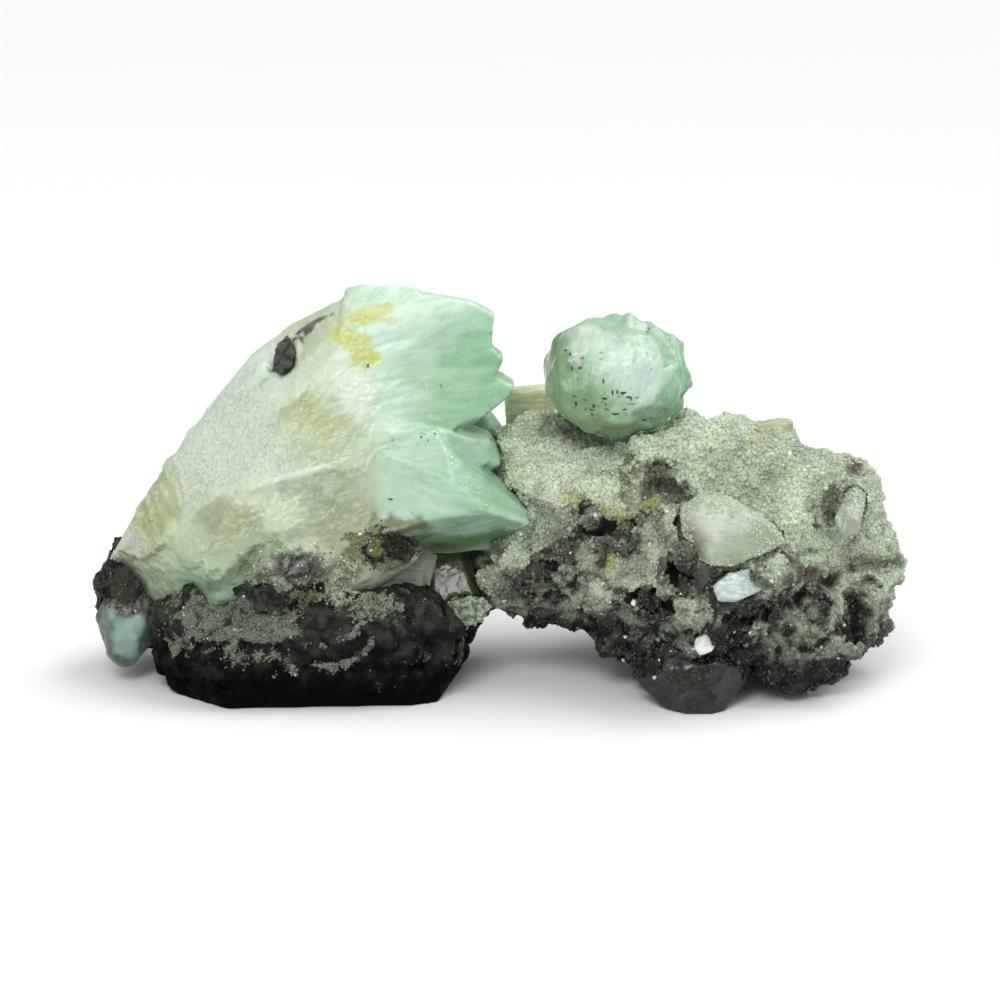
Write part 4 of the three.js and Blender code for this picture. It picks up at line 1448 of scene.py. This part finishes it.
    cream: Colour = linear(188, 201, 171)
    shaded: Colour = linear(156, 174, 144)
    blade_root: Colour = linear(206, 233, 211)
    blade_middle: Colour = linear(160, 202, 170)
    blade_tip: Colour = linear(150, 203, 160)
    blade_top: Colour = linear(214, 240, 222)
    low_blade: Colour = linear(172, 212, 184)
    rear: Colour = linear(150, 188, 150)
    # Colour of the painted highlights on convex edges.
    edge: Colour = linear(228, 242, 228)
    frost: Colour = linear(205, 219, 202)
    olive_black: Colour = linear(30, 30, 18)
    crust: Spot = Spot((-26.0, -12.6, 16.8), (7.4, 6.0, 3.4), ragged=0.7)
    olive: Spot = Spot((-16.0, -12.0, 20.0), (3.8, 5.0, 2.3), ragged=0.7)
    yellow: Spot = Spot((-18.6, -11.6, 19.6), (2.4, 5.0, 2.0), linear(130, 136, 84), 0.9, 0.8)
    flecks: tuple[Mark, ...] = (
        Streak(((-14.6, -6.0, 33.0), (-13.2, -6.2, 33.0)), 0.55, ragged=0.3),
        Streak(((-16.6, -8.2, 31.4), (-14.8, -7.6, 32.4)), 0.45, ragged=0.5),
        Streak(((-10.8, -6.9, 33.2), (-9.2, -6.9, 34.6)), 0.7, ragged=0.6),
        Spot((-17.8, -2.6, 42.9), (0.9, 3.0, 0.7)),
        Spot((-14.3, -10.4, 26.6), (0.8, 3.0, 0.5)),
        Spot((-6.0, -3.0, 39.6), (1.6, 4.0, 1.4), share=0.5, ragged=0.8),
    )
    # Painted glints: white specks along the ridge and on the body, standing in for glints of light.
    painted_glints: tuple[Mark, ...] = (
        Streak(
            ((-7.4, -8.6, 32.2), (-5.5, -9.9, 29.5), (-3.6, -10.3, 27.6), (-1.9, -10.9, 25.7)),
            0.75, ragged=0.4,
        ),
        Spot((-21.2, -8.0, 30.6), (2.6, 4.0, 1.6), share=0.7, ragged=0.8),
        Spot((-26.6, -6.8, 33.4), (2.0, 4.0, 1.8), share=0.5, ragged=0.8),
        Spot((-27.2, -9.6, 25.4), (1.6, 4.0, 1.4), share=0.7, ragged=0.8),
        Spot((-13.8, -3.2, 40.2), (0.8, 3.0, 0.6)),
        Spot((-10.0, -2.6, 40.3), (1.2, 3.0, 0.6)),
        Spot((-14.0, -5.0, 35.9), (0.9, 3.0, 0.7)),
        Spot((-14.0, 0.4, 47.8), (2.4, 3.0, 1.2), share=0.7, ragged=0.8),
        Spot((-17.8, -3.0, 41.0), (1.0, 3.0, 1.6), share=0.6, ragged=0.8),
    )
    tones: np.ndarray = field(init=False)
    under: np.ndarray = field(init=False)
    body: np.ndarray = field(init=False)
    toothed: np.ndarray = field(init=False)

    def above(self, points: np.ndarray) -> np.ndarray:
        """Height over the ledge that crosses the front, in millimetres."""
        return points[:, 2] - np.interp(points[:, 0], *zip(*self.ledge))

    def toward_tips(self, points: np.ndarray) -> np.ndarray:
        """How far each point lies along the blades, in millimetres."""
        return points[:, 0] + 0.25 * (points[:, 2] - 38.0)

    def grounds(self, points: np.ndarray, ripple: np.ndarray) -> np.ndarray:
        """Colours the spray before any mark: cream on the body, green from the roots to the tips.

        Args:
            points: Places in millimetres.
            ripple: Unevenness at each place.

        Returns:
            Colour at each place.
        """
        x, y, z = points.T
        along = self.toward_tips(points)
        base = np.tile(np.array(self.cream), (len(points), 1))
        base = blend(base, self.shaded, 0.9 * self.under * smooth_step(-x, 12.0, 20.0))
        base = blend(base, self.blade_root, smooth_step(along + 2.4 * ripple, -21.0, -15.0))
        base = blend(base, self.blade_middle, smooth_step(along + 2.4 * ripple, -16.0, -6.0))
        base = blend(base, self.blade_tip, 0.8 * smooth_step(along + 1.5 * ripple, -6.0, 2.5))
        high = smooth_step(z - 0.3 * x + ripple, 46.0, 52.0) * smooth_step(x, -20.0, -14.0)
        base = blend(base, self.blade_top, 0.85 * high)
        low = smooth_step(-z, -36.0, -30.0) * smooth_step(x, -18.0, -13.0)
        base = blend(base, self.low_blade, 0.6 * low)
        return blend(base, self.rear, 0.7 * smooth_step(y, 4.0, 9.0))

    def tinted(self, shell: Shell) -> np.ndarray:
        """Colours the spray: painted highlights on its edges, painted shade in its corners and on its
        undersides.

        Args:
            shell: The shaped spray.

        Returns:
            Colour at each point.
        """
        points = shell.points
        ripple = uneven(points, 4.0, 4, 3.0)
        frayed = 0.6 * ripple + 0.4 * uneven(points, 1.0, 3, 4.0) + 1.1 * (self.tones - 0.5) * self.body
        base = painted(points, self.grounds(points, ripple), self.tints, frayed)
        strength = 0.1 * self.under + 0.05 * (1.0 - self.under) + 0.2 * self.toothed
        base = base * (1.0 + strength * (2.0 * self.tones - 1.0))[:, None]
        stands = shell.standing(5)
        # Painted highlights on convex edges.
        base = blend(base, self.edge, smooth_step(stands, 0.03, 0.14) * (0.6 - 0.2 * self.body))
        # Painted shade in creases.
        base = blend(base, 0.6 * base, smooth_step(-stands, 0.03, 0.2) * (1.0 - 0.65 * self.body))
        # Painted shade on downward faces.
        return blend(base, 0.62 * base, smooth_step(-shell.normals[:, 2], 0.1, 0.6))

    def marked(self, points: np.ndarray) -> np.ndarray:
        """Lays the frost, the dark flecks and the painted white glints.

        Args:
            points: Places in millimetres.

        Returns:
            A row of three shares for each place.
        """
        ripple = uneven(points, 3.0, 4, 7.0)
        frost = smooth_step(self.above(points) + ripple, 0.0, 2.0)
        frost *= smooth_step(-points[:, 0] - 0.6 * (points[:, 2] - 36.0) + 3.0 * ripple, 26.0, 33.0)
        frost *= 1.0 - 0.8 * self.comb.cover(points, ripple)
        flecks, painted_glints = (covered(points, marks, ripple) for marks in (self.flecks, self.painted_glints))
        return np.stack([frost, flecks, painted_glints], axis=1)

    def lined(self, points: np.ndarray) -> np.ndarray:
        """How strongly the growth lines show, mostly on the blades and on the comb at the far left.

        Args:
            points: Places in millimetres.

        Returns:
            A share for each place.
        """
        blades = smooth_step(self.toward_tips(points), -19.0, -12.0)
        comb = self.comb.cover(points, uneven(points, 3.0))
        body = 0.3 * smooth_step(self.above(points), 0.0, 3.0) * (1.0 - blades)
        return np.clip(0.75 * blades + 0.95 * comb + body, 0, 1)

    def run(self, points: np.ndarray) -> np.ndarray:
        """Turns places into the blades' own directions, in which the growth lines run.

        Args:
            points: Places in millimetres.

        Returns:
            Places in metres: round the root, through the spray and away from the root.
        """
        blades, body = (self.around(points, root) for root in (self.root, self.top))
        across, along = 0.85 * points[:, 0] + 0.5 * points[:, 2], 0.5 * points[:, 0] - 0.85 * points[:, 2]
        comb = np.stack([1.3 * across, 0.3 * points[:, 1], 0.15 * along], axis=1)
        x = points[:, :1]
        return np.where(x < -38.0, comb, np.where(x < -18.0, body, blades)) * MM

    def around(self, points: np.ndarray, root: Triple) -> np.ndarray:
        """Turns places into directions round one root.

        Args:
            points: Places in millimetres.
            root: The root.

        Returns:
            Places round the root, through the spray and away from the root, in millimetres.
        """
        away = points - np.array(root)
        reach = np.hypot(away[:, 0], away[:, 2])
        turn = np.arctan2(away[:, 2], away[:, 0] + 1e-6)
        return np.stack([30.0 * turn, 0.6 * away[:, 1], 0.12 * reach], axis=1)

    def shaped(self) -> Shell:
        """Shapes the spray from its solid, with the broken glassy face below its ledge.

        Returns:
            The shaped surface.
        """
        shell = Shell.from_node("apophyllite_spray", "blade_spray")
        shell.remesh(self.cell)
        shell.push(np.full(len(shell.points), 0.2))
        body = smooth_step(-shell.points[:, 0], 14.0, 19.0)
        shell.soften(1)
        shell.soften(10, body)
        wave = uneven(shell.points, 2.0, 4, 2.0)
        under = smooth_step(-self.above(shell.points) + 0.5 * wave, -0.1, 0.35)
        under *= smooth_step(-shell.points[:, 0], 15.0, 21.0) * smooth_step(-shell.normals[:, 1], 0.0, 0.4)
        shell.push(-0.4 * under)
        points = shell.points
        bent = points + 0.8 * np.stack([uneven(points, 3.0, 2, shift) for shift in (0.5, 4.5, 8.5)], axis=1)
        glassy, glassy_tone = facets(bent, (-0.7, 0.0, -0.5), (6.0, 3.4, 3.8), 11)
        fibres, fibre_tone = facets(bent, (-0.75, 0.0, -0.65), (13.0, 2.4, 3.4), 12)
        steps, step_tone = facets(points, (0.95, 0.0, 0.22), (16.0, 2.0, 3.0), 13)
        teeth, tooth_tone = facets(points, (0.5, 0.0, -0.85), (7.0, 0.8, 2.4), 14)
        comb = self.comb.cover(points, wave)
        shares = [under * (1 - comb), body * (1 - under) * (1 - comb), (1 - body), comb * body]
        tones = (glassy_tone, fibre_tone, step_tone, tooth_tone)
        self.tones = sum(share * tone for share, tone in zip(shares, tones))
        self.under, self.body, self.toothed = under, body, comb
        raised = zip(shares, (0.36 * glassy, 0.2 * fibres, 0.15 * steps, 0.42 * teeth))
        shell.push(sum(share * height for share, height in raised))
        shell.soften(2)
        shell.relief(Pattern.CREVICES, 2.4, 1.0, self.crust.cover(shell.points, wave))
        shell.relief(Pattern.CLOUDS, 5.0, 0.4, 0.15 + 0.85 * body)
        shell.relief(Pattern.CLOUDS, 1.2, 0.26, 0.2 + 0.6 * body)
        shell.relief(Pattern.CLOUDS, 0.6, 0.16, 0.7 * body)
        return shell

    def make(self) -> None:
        """Builds and dresses the spray."""
        shell = self.shaped()
        tints, marks = self.tinted(shell), self.marked(shell.points)
        shell.keep("tint", tints)
        shell.keep("marks", marks)
        shell.keep("lines", self.lined(shell.points))
        shell.keep("run", self.run(shell.points))
        finish = CrystalFinish("apophyllite", clear=0.12)
        dress(shell.piece, "apophyllite_blades", finish.build(), "apophyllite_spray")
        self.grow_chips(shell, tints, marks[:, 0])

    def grow_chips(self, shell: Shell, tints: np.ndarray, frost: np.ndarray) -> None:
        """Grows small crystals on the foot, on the frosted back and round the olive hole.

        Args:
            shell: The finished spray.
            tints: Its colour at each point.
            frost: How frosted it is at each point.
        """
        foot = self.crust.cover(shell.points, uneven(shell.points, 2.0, 4, 2.0)) + 1e-7
        chips = Grains("spray_foot_chips", GrainShape.CHIP, 1500, 0.25, 0.5, 19, 0.8, 0.9, uneven=0.5)
        dress(chips.grow(shell, tints, foot), "druse", GrainFinish("spray_foot_crystals", 0.35).build())
        chips = Grains("frost_chips", GrainShape.CHIP, 3200, 0.2, 0.34, 17, 0.6, 0.5, 0.55, 0.2, 0.3)
        grown = chips.grow(shell, shell.all_over(self.frost), frost ** 2 + 1e-5)
        dress(grown, "apophyllite_blades", GrainFinish("frost_crystals", 0.25).build())
        ripple = uneven(shell.points, 2.0, 4)
        olive = painted(shell.points, shell.all_over(self.olive_black), [self.yellow], ripple)
        chips = Grains("olive_specks", GrainShape.CHIP, 700, 0.3, 0.62, 18, 0.8, 0.9, uneven=0.6)
        grown = chips.grow(shell, olive, self.olive.cover(shell.points, ripple) + 1e-6)
        dress(grown, "olive_clay", GrainFinish("olive_crystals", 0.4).build())


@dataclass
class CobbledBall:
    """The round cluster of blunt green tips, worn smooth at the left of its centre.

    `lines` is how strongly its growth lines show, and `slant` turns and stretches a place for them.
    """

    cell: float = 0.26
    centre: Triple = (14.8, -0.4, 40.6)
    green: Colour = linear(158, 194, 164)
    lines: float = 0.5
    slant: tuple[Triple, Triple, Triple] = ((1.0, 0.0, 0.1), (0.0, 0.4, 0.0), (-0.35, 0.0, 0.3))
    # Painted glints in the painted sheen.
    painted_glints: Spot = Spot((17.0, -7.0, 42.6), (4.4, 5.0, 4.0), share=0.3, ragged=0.8)
    tints: tuple[Mark, ...] = (
        # Darker olive on the left and below: the ball's own olive tint, with painted shade on its lower side.
        Spot((7.4, -5.0, 43.0), (3.4, 6.0, 3.6), linear(114, 147, 102), 0.85, 0.6),
        Spot((10.0, -6.6, 37.6), (5.0, 6.0, 4.4), linear(131, 161, 107), 0.85, 0.5),
        Spot((13.0, -7.0, 34.2), (9.0, 5.0, 2.0), linear(104, 130, 84), 0.85),
        # Painted sheen and highlights on the upper part of the ball.
        Spot((11.0, -6.0, 46.2), (2.6, 5.0, 2.2), linear(206, 224, 206), 0.8, 0.7),
        Spot((15.4, -8.0, 44.0), (3.8, 5.0, 2.8), linear(214, 233, 218), 0.85, 0.35, 0.8),
        Spot((18.2, -7.0, 41.0), (3.0, 5.0, 3.4), linear(216, 235, 224), 0.85, 0.35, 0.8),
        Spot((17.4, -5.0, 48.2), (1.1, 4.0, 0.6), linear(226, 240, 232), 0.85, 0.6),
        Spot((22.8, -4.0, 39.0), (3.0, 6.0, 4.4), linear(126, 178, 138), 0.8),
        Spot((19.0, -7.0, 36.6), (2.4, 5.0, 1.2), linear(92, 122, 88), 0.7, 0.9),
    )
    flecks: tuple[Mark, ...] = (
        Streak(((7.8, -5.6, 46.4), (8.3, -6.0, 45.2)), 1.0, ragged=0.4),
        Streak(((10.2, -7.4, 44.5), (12.2, -7.9, 45.0)), 0.9, ragged=0.4),
        Streak(((9.2, -7.4, 43.0), (9.5, -7.8, 41.6)), 0.9, ragged=0.4),
        Streak(((11.8, -8.4, 41.6), (14.4, -8.9, 41.9)), 0.9, ragged=0.5),
        Spot((13.6, -9.0, 39.8), (3.6, 5.0, 0.8), ragged=0.6),
        Spot((16.4, -9.0, 40.0), (1.4, 5.0, 0.8), ragged=0.6),
        Spot((13.4, -8.8, 37.7), (3.8, 5.0, 1.1), ragged=0.6),
        Spot((9.9, -8.0, 39.0), (0.8, 5.0, 1.7), ragged=0.6),
        Spot((18.6, -8.0, 36.1), (0.9, 5.0, 0.6), ragged=0.4),
    )

    def make(self) -> None:
        """Builds and dresses the ball."""
        shell = Shell.from_node("apophyllite_ball", "cobbled_ball")
        shell.remesh(self.cell)
        away = shell.points - np.array(self.centre)
        rim = smooth_step(away[:, 0] + 0.6 * away[:, 2], 0.0, 8.0)
        shell.soften(6)
        shell.soften(30, 1.0 - rim)
        faces, tones = facets(shell.points, (0.35, 0.0, 1.0), (2.6, 1.8, 2.4), 23, 0.8)
        shell.push(0.42 * faces * (0.3 + 0.7 * rim))
        shell.relief(Pattern.CLOUDS, 1.0, 0.16)
        points = shell.points
        ripple = uneven(points, 3.0, 4)
        frayed = 0.7 * ripple + 0.8 * (tones - 0.5)
        base = painted(points, shell.all_over(self.green), self.tints, frayed)
        base *= (1.0 + 0.1 * (2.0 * tones - 1.0))[:, None]
        # Painted shade in the creases between the cobbles.
        base = blend(base, 0.7 * base, smooth_step(-shell.standing(6), 0.02, 0.16))
        shell.keep("tint", np.clip(base, 0, 1))
        flecks, painted_glints = covered(points, self.flecks, ripple), covered(points, [self.painted_glints], ripple)
        shell.keep("marks", np.stack([np.zeros(len(points)), flecks, painted_glints], axis=1))
        shell.keep("lines", np.full(len(points), self.lines))
        shell.keep("run", (points @ np.array(self.slant)) * MM)
        finish = CrystalFinish("apophyllite_ball", 0.2, 2.0, 0.4, 0.1, 0.7, 0.07)
        dress(shell.piece, "apophyllite_cobbles", finish.build(), "apophyllite_ball")


@dataclass
class GrownCrystal:
    """A single crystal with worn edges.

    Its tint goes from `near` to `far` along `axis`, with `spots` laid over it. `worn` is how far its
    edges are worn, `bumpy` the height of its relief in millimetres and `lines` how strongly its growth
    lines show. Small crystals, `grains` in all and of the colour `dust`, cover it where `crust` says so.
    """

    node: str
    name: str
    slot: str
    finish: CrystalFinish | ClearFinish | SilkFinish
    near: Colour = (0.5, 0.6, 0.5)
    far: Colour = (0.5, 0.6, 0.5)
    axis: Triple = (0.0, 0.0, 1.0)
    worn: int = 2
    cell: float = 0.2
    bumpy: float = 0.16
    lines: float = 0.3
    spots: tuple[Mark, ...] = ()
    crust: tuple[Mark, ...] = ()
    grains: int = 500
    dust: Colour = PALE

    def make(self) -> None:
        """Builds and dresses the crystal."""
        shell = Shell.from_node(self.node, self.name)
        shell.remesh(self.cell)
        shell.push(np.full(len(shell.points), 0.15))
        shell.soften(self.worn)
        shell.relief(Pattern.CLOUDS, 1.6, self.bumpy)
        bpy.ops.object.shade_smooth_by_angle(angle=0.7)
        away = shell.points @ np.array(self.axis)
        share = (away - away.min()) / max(np.ptp(away), 1e-6)
        ripple = uneven(shell.points, 1.6, 3)
        tints = blend(self.near, self.far, smooth_step(share, 0.1, 0.95))
        shell.keep("tint", painted(shell.points, tints, self.spots, ripple))
        shell.keep("marks", np.zeros((len(away), 3)))
        shell.keep("lines", np.full(len(away), self.lines))
        shell.keep("run", shell.points * MM)
        dress(shell.piece, self.slot, self.finish.build(), self.node)
        if self.crust:
            cover = covered(shell.points, self.crust, ripple) + 1e-5
            name = self.name + "_chips"
            chips = Grains(name, GrainShape.CHIP, self.grains, 0.26, 0.55, 21, 0.9, 0.9, 0.4, 0.004)
            grown = chips.grow(shell, shell.all_over(self.dust), cover)
            dress(grown, "druse", GrainFinish(self.name + "_druse").build())


@dataclass
class CrustLump:
    """A small rough lump, with `grains` small crystals on it.

    Its hollows have the colour `low` and its crests the colour `high`, which paints shade into the hollows.
    `flat` is the direction in which its flattened side looks, or None, and `pressed` the share of its height
    there that is taken off.
    `rough` is the height of its relief in millimetres.
    """

    node: str
    name: str
    slot: str
    low: Colour
    high: Colour
    grains: int
    most: float = 0.6
    spots: tuple[Mark, ...] = ()
    flat: Triple | None = None
    pressed: float = 0.85
    rough: float = 0.9
    cell: float = 0.2

    def make(self) -> None:
        """Builds and dresses the lump."""
        shell = Shell.from_node(self.node, self.name)
        shell.remesh(self.cell)
        if self.flat is not None:
            out = np.array(self.flat) / np.linalg.norm(self.flat)
            rise = (shell.points - shell.points.mean(axis=0)) @ out
            shell.points = shell.points - self.pressed * np.maximum(rise, -0.6)[:, None] * out
            shell.write()
        shell.soften(4)
        shell.relief(Pattern.CREVICES, 2.0, self.rough)
        shell.relief(Pattern.CLOUDS, 0.8, 0.4 * self.rough)
        fine = uneven(shell.points, 1.0, 3)
        # Painted shade: darker in the hollows, lighter on the crests.
        crest = smooth_step(shell.standing(14) + 0.06 * fine, -0.12, 0.12)
        tints = blend(self.low, self.high, crest)
        tints = painted(shell.points, tints, self.spots, fine)
        shell.keep("tint", tints)
        dress(shell.piece, self.slot, DruseFinish(self.name + "_crust").build(), self.node)
        if self.grains:
            blocks = Grains(self.name + "_grains", GrainShape.BLOCK, self.grains, 0.3, self.most, 12)
            dress(blocks.grow(shell, tints * 1.1), self.slot, GrainFinish(self.name + "_crystals").build())


@dataclass
class Studio:
    """Pale floor, soft light and the camera.

    `target` and `distance`, in millimetres, and `elevation`, in degrees, are the camera's. The sky's
    strength goes from the first value of `sky` to the second towards `bright_side`. `overhead` is where
    the sun stands and `soft` how wide it is, in degrees. The front lamp's values are in metres and watts.
    """

    target: Triple = (-0.335, 2.57, 22.8)
    distance: float = 318.0
    elevation: float = 15.0
    lens: float = 85.0
    sensor: float = 36.0
    floor_side: float = 8.0
    bright_side: Triple = (0.1, -0.05, 0.95)
    sky: tuple[float, float] = (0.15, 0.8)
    overhead: Triple = (0.7, 0.3, 1.0)
    sun: float = 1.6
    soft: float = 46.0
    lamp_at: Triple = (-0.12, -0.4, 0.46)
    lamp_side: float = 0.26
    lamp_power: float = 1.35

    def floor(self) -> None:
        """Lays the floor."""
        bpy.ops.object.select_all(action="DESELECT")
        bpy.ops.mesh.primitive_plane_add(size=self.floor_side, location=(0, 0, 0))
        sheet = bpy.context.object
        sheet.name = "floor"
        sheet.data.materials.append(FloorFinish().build())

    def lamp(self) -> None:
        """Hangs the square front lamp, which faces the specimen."""
        data = bpy.data.lights.new("front", "AREA")
        data.size = self.lamp_side
        data.energy = self.lamp_power
        lamp = bpy.data.objects.new("front", data)
        lamp.location = self.lamp_at
        facing = Vector((0, 0, 0.02)) - Vector(self.lamp_at)
        lamp.rotation_euler = facing.to_track_quat("-Z", "Y").to_euler()
        bpy.context.collection.objects.link(lamp)

    def shine(self) -> None:
        """Hangs the soft sun."""
        data = bpy.data.lights.new("overhead", "SUN")
        data.energy = self.sun
        data.angle = math.radians(self.soft)
        hung = bpy.data.objects.new("overhead", data)
        hung.rotation_euler = Vector(self.overhead).to_track_quat("Z", "Y").to_euler()
        bpy.context.collection.objects.link(hung)

    def lay_sky(self) -> None:
        """Makes the sky, brightest on one side."""
        world = bpy.data.worlds.new("studio")
        bpy.context.scene.world = world
        world.use_nodes = True
        tree = world.node_tree
        sky = tree.nodes["Background"]
        facing = tree.nodes.new("ShaderNodeVectorMath")
        facing.operation = "DOT_PRODUCT"
        facing.inputs[1].default_value = Vector(self.bright_side).normalized()
        tree.links.new(tree.nodes.new("ShaderNodeTexCoord").outputs["Generated"], facing.inputs[0])
        level = tree.nodes.new("ShaderNodeMapRange")
        tree.links.new(facing.outputs["Value"], level.inputs["Value"])
        for name, value in zip(("From Min", "From Max", "To Min", "To Max"), (-0.5, 1.0, *self.sky)):
            level.inputs[name].default_value = value
        tree.links.new(level.outputs[0], sky.inputs["Strength"])
        sky.inputs["Color"].default_value = (1.0, 1.0, 1.0, 1.0)

    def camera(self) -> None:
        """Stands the camera at the photograph's angle."""
        data = bpy.data.cameras.new("camera")
        data.lens = self.lens
        data.sensor_width = self.sensor
        tilt = math.radians(self.elevation)
        camera = bpy.data.objects.new("camera", data)
        back = Vector((0.0, -math.cos(tilt), math.sin(tilt)))
        camera.location = (Vector(self.target) + back * self.distance) * MM
        camera.rotation_euler = (math.pi / 2 - tilt, 0.0, 0.0)
        bpy.context.collection.objects.link(camera)
        bpy.context.scene.camera = camera

    def make(self) -> None:
        """Sets the stage."""
        self.camera()
        self.floor()
        self.lay_sky()
        self.lamp()
        self.shine()
        bpy.context.scene.view_settings.view_transform = "Standard"


SINGLES = [
    GrownCrystal(
        "left_end_crystal", "blue_green_crystal", "blue_green_apophyllite",
        CrystalFinish("blue_green_apophyllite", 0.35, 1.5, 0.35, 0.0, 0.8, 0.08),
        linear(96, 120, 104), linear(134, 164, 152), (0.3, -0.5, 0.3), worn=26, cell=0.24, bumpy=0.5,
        spots=(
            Spot((-49.0, -5.0, 11.6), (6.0, 8.0, 2.4), linear(56, 48, 30), 0.9, 0.6),
            Spot((-45.8, -8.0, 7.0), (2.4, 8.0, 5.0), linear(60, 74, 60), 0.85, 0.5),
            Spot((-53.4, -7.0, 8.0), (2.0, 6.0, 5.0), linear(70, 76, 54), 0.85, 0.5),
            Spot((-50.5, -10.0, 2.6), (3.0, 5.0, 1.6), linear(64, 72, 52), 0.85, 0.5),
        ),
        crust=(Spot((-49.6, -6.0, 11.4), (5.0, 6.0, 1.3), ragged=0.8),), grains=260, dust=linear(60, 52, 34),
    ),
    GrownCrystal(
        "rear_crystal", "rounded_green_crystal", "green_apophyllite",
        CrystalFinish("green_apophyllite", 0.3, 1.8, 0.4, 0.05),
        linear(104, 136, 104), linear(160, 196, 170), (0.6, 0.0, 0.4), worn=12, cell=0.24,
    ),
    GrownCrystal(
        "tan_blade", "tan_stilbite_blade", "tan_stilbite", SilkFinish("tan_stilbite"),
        linear(182, 190, 148), linear(214, 219, 178), worn=16,
    ),
    GrownCrystal(
        "pearly_blade", "pearly_stilbite_blade", "pearly_stilbite",
        SilkFinish("pearly_stilbite", (0.0, -0.2, 0.0), contrast=0.86),
        linear(174, 190, 168), linear(152, 168, 144), (1.0, 0.0, -0.3), worn=6,
        spots=(
            Spot((24.0, -17.8, 22.6), (2.0, 3.0, 3.6), linear(118, 110, 90), 0.85, 0.3, 0.5),
            Spot((28.6, -18.0, 25.6), (4.0, 4.0, 1.6), linear(204, 216, 198), 0.7, 0.5, 0.6),
            Spot((28.0, -18.6, 21.0), (2.4, 3.0, 1.2), linear(150, 162, 132), 0.8, 0.6),
        ),
        crust=(
            Spot((34.4, -16.6, 23.0), (3.4, 5.0, 3.6), ragged=0.5),
            Spot((28.0, -18.0, 19.4), (6.0, 4.0, 1.3), ragged=0.6),
            Spot((29.6, -17.0, 27.6), (6.0, 4.0, 1.3), ragged=0.6),
            Spot((23.2, -16.6, 25.0), (0.9, 4.0, 3.0), share=0.8, ragged=0.6),
        ),
        grains=1200,
    ),
    GrownCrystal(
        "silvery_blade", "silvery_stilbite_blade", "silvery_stilbite",
        SilkFinish("silvery_stilbite", roughness=0.2, contrast=0.62),
        linear(214, 230, 224), linear(176, 194, 184), (1.0, 0.0, 0.2), worn=4,
        crust=(
            Spot((35.6, -17.0, 18.6), (1.6, 4.0, 3.0), ragged=0.5),
            Spot((31.0, -19.0, 19.8), (6.0, 4.0, 0.8), share=0.8, ragged=0.8),
        ),
        grains=260,
    ),
    GrownCrystal(
        "right_prism", "small_clear_prism", "colourless_prism",
        ClearFinish("colourless_prism", (0.6, 0.68, 0.56), (0.5, 0.6, 0.45), 160.0, 0.18, 0.6, 0.4),
        cell=0.16, crust=(Spot((46.4, -12.4, 26.4), (2.4, 4.0, 1.6), ragged=0.6),), grains=160,
    ),
    GrownCrystal(
        "white_chip", "white_cleavage_chip", "white_cleavage",
        SilkFinish("white_cleavage", roughness=0.2, contrast=0.85),
        linear(246, 250, 245), linear(236, 242, 236), worn=1, cell=0.16,
    ),
    GrownCrystal(
        "top_blade", "olive_stilbite_blade", "olive_stilbite", SilkFinish("olive_stilbite"),
        linear(160, 168, 122), linear(190, 200, 162), (0.8, 0.0, 0.4), worn=8,
        crust=(
            Spot((31.5, -2.0, 33.0), (2.2, 6.0, 3.0), ragged=0.6),
            Spot((36.5, -2.0, 31.0), (2.4, 6.0, 1.6), ragged=0.6),
        ),
    ),
    GrownCrystal(
        "foot_crystal", "dark_foot_crystal", "dark_translucent_crystal",
        ClearFinish("dark_crystal", (0.012, 0.015, 0.008), (0.3, 0.36, 0.26), 260.0, 0.22, 0.25, 0.02),
        worn=4, cell=0.3, bumpy=0.4,
        crust=(Spot((25.4, -18.0, 8.0), (10.0, 8.0, 3.4), ragged=0.8),), grains=600, dust=linear(44, 46, 38),
    ),
    GrownCrystal(
        "notch_prism", "brown_clear_prism", "brown_clear_prism",
        ClearFinish("brown_crystal", (0.07, 0.09, 0.028), (0.5, 0.52, 0.3), 240.0, 0.12, 0.3, 0.03),
        worn=1,
    ),
    GrownCrystal(
        "notch_fan", "grey_stilbite_fan", "grey_stilbite", SilkFinish("grey_stilbite"),
        linear(120, 130, 112), linear(168, 180, 160),
    ),
]

LUMPS = [
    CrustLump(
        "notch_druse", "pale_druse_lump", "pale_druse", linear(96, 108, 88), linear(176, 192, 168), 260,
    ),
    CrustLump(
        "olive_knot", "olive_clay_knot", "olive_clay", linear(7, 7, 5), linear(30, 30, 20), 120, 0.4,
        spots=(
            Spot((-16.4, -11.0, 20.4), (1.2, 4.0, 1.6), linear(116, 120, 72), 0.9, 0.7),
            Spot((-11.0, -11.0, 19.6), (1.3, 4.0, 2.0), linear(66, 62, 40), 0.9, 0.6),
            Spot((-13.6, -11.0, 17.5), (3.2, 4.0, 1.0), linear(120, 128, 100), 0.85, 0.7),
        ),
        flat=(-0.1, -0.9, 0.3),
    ),
    CrustLump(
        "basalt_scab", "basalt_scab_chip", "basalt", linear(46, 49, 44), linear(84, 89, 80), 0,
        flat=(-0.45, -0.7, 0.62), pressed=0.6, rough=0.6,
    ),
]


def main() -> None:
    """Builds the specimen piece by piece, then sets the stage."""
    logging.basicConfig(level=logging.INFO, format="%(name)s %(message)s")
    for part in (BasaltBlock(), DrusyMass(), BladeSpray(), CobbledBall(), *SINGLES, *LUMPS):
        part.make()
    Studio().make()


if __name__ == "__main__":
    main()
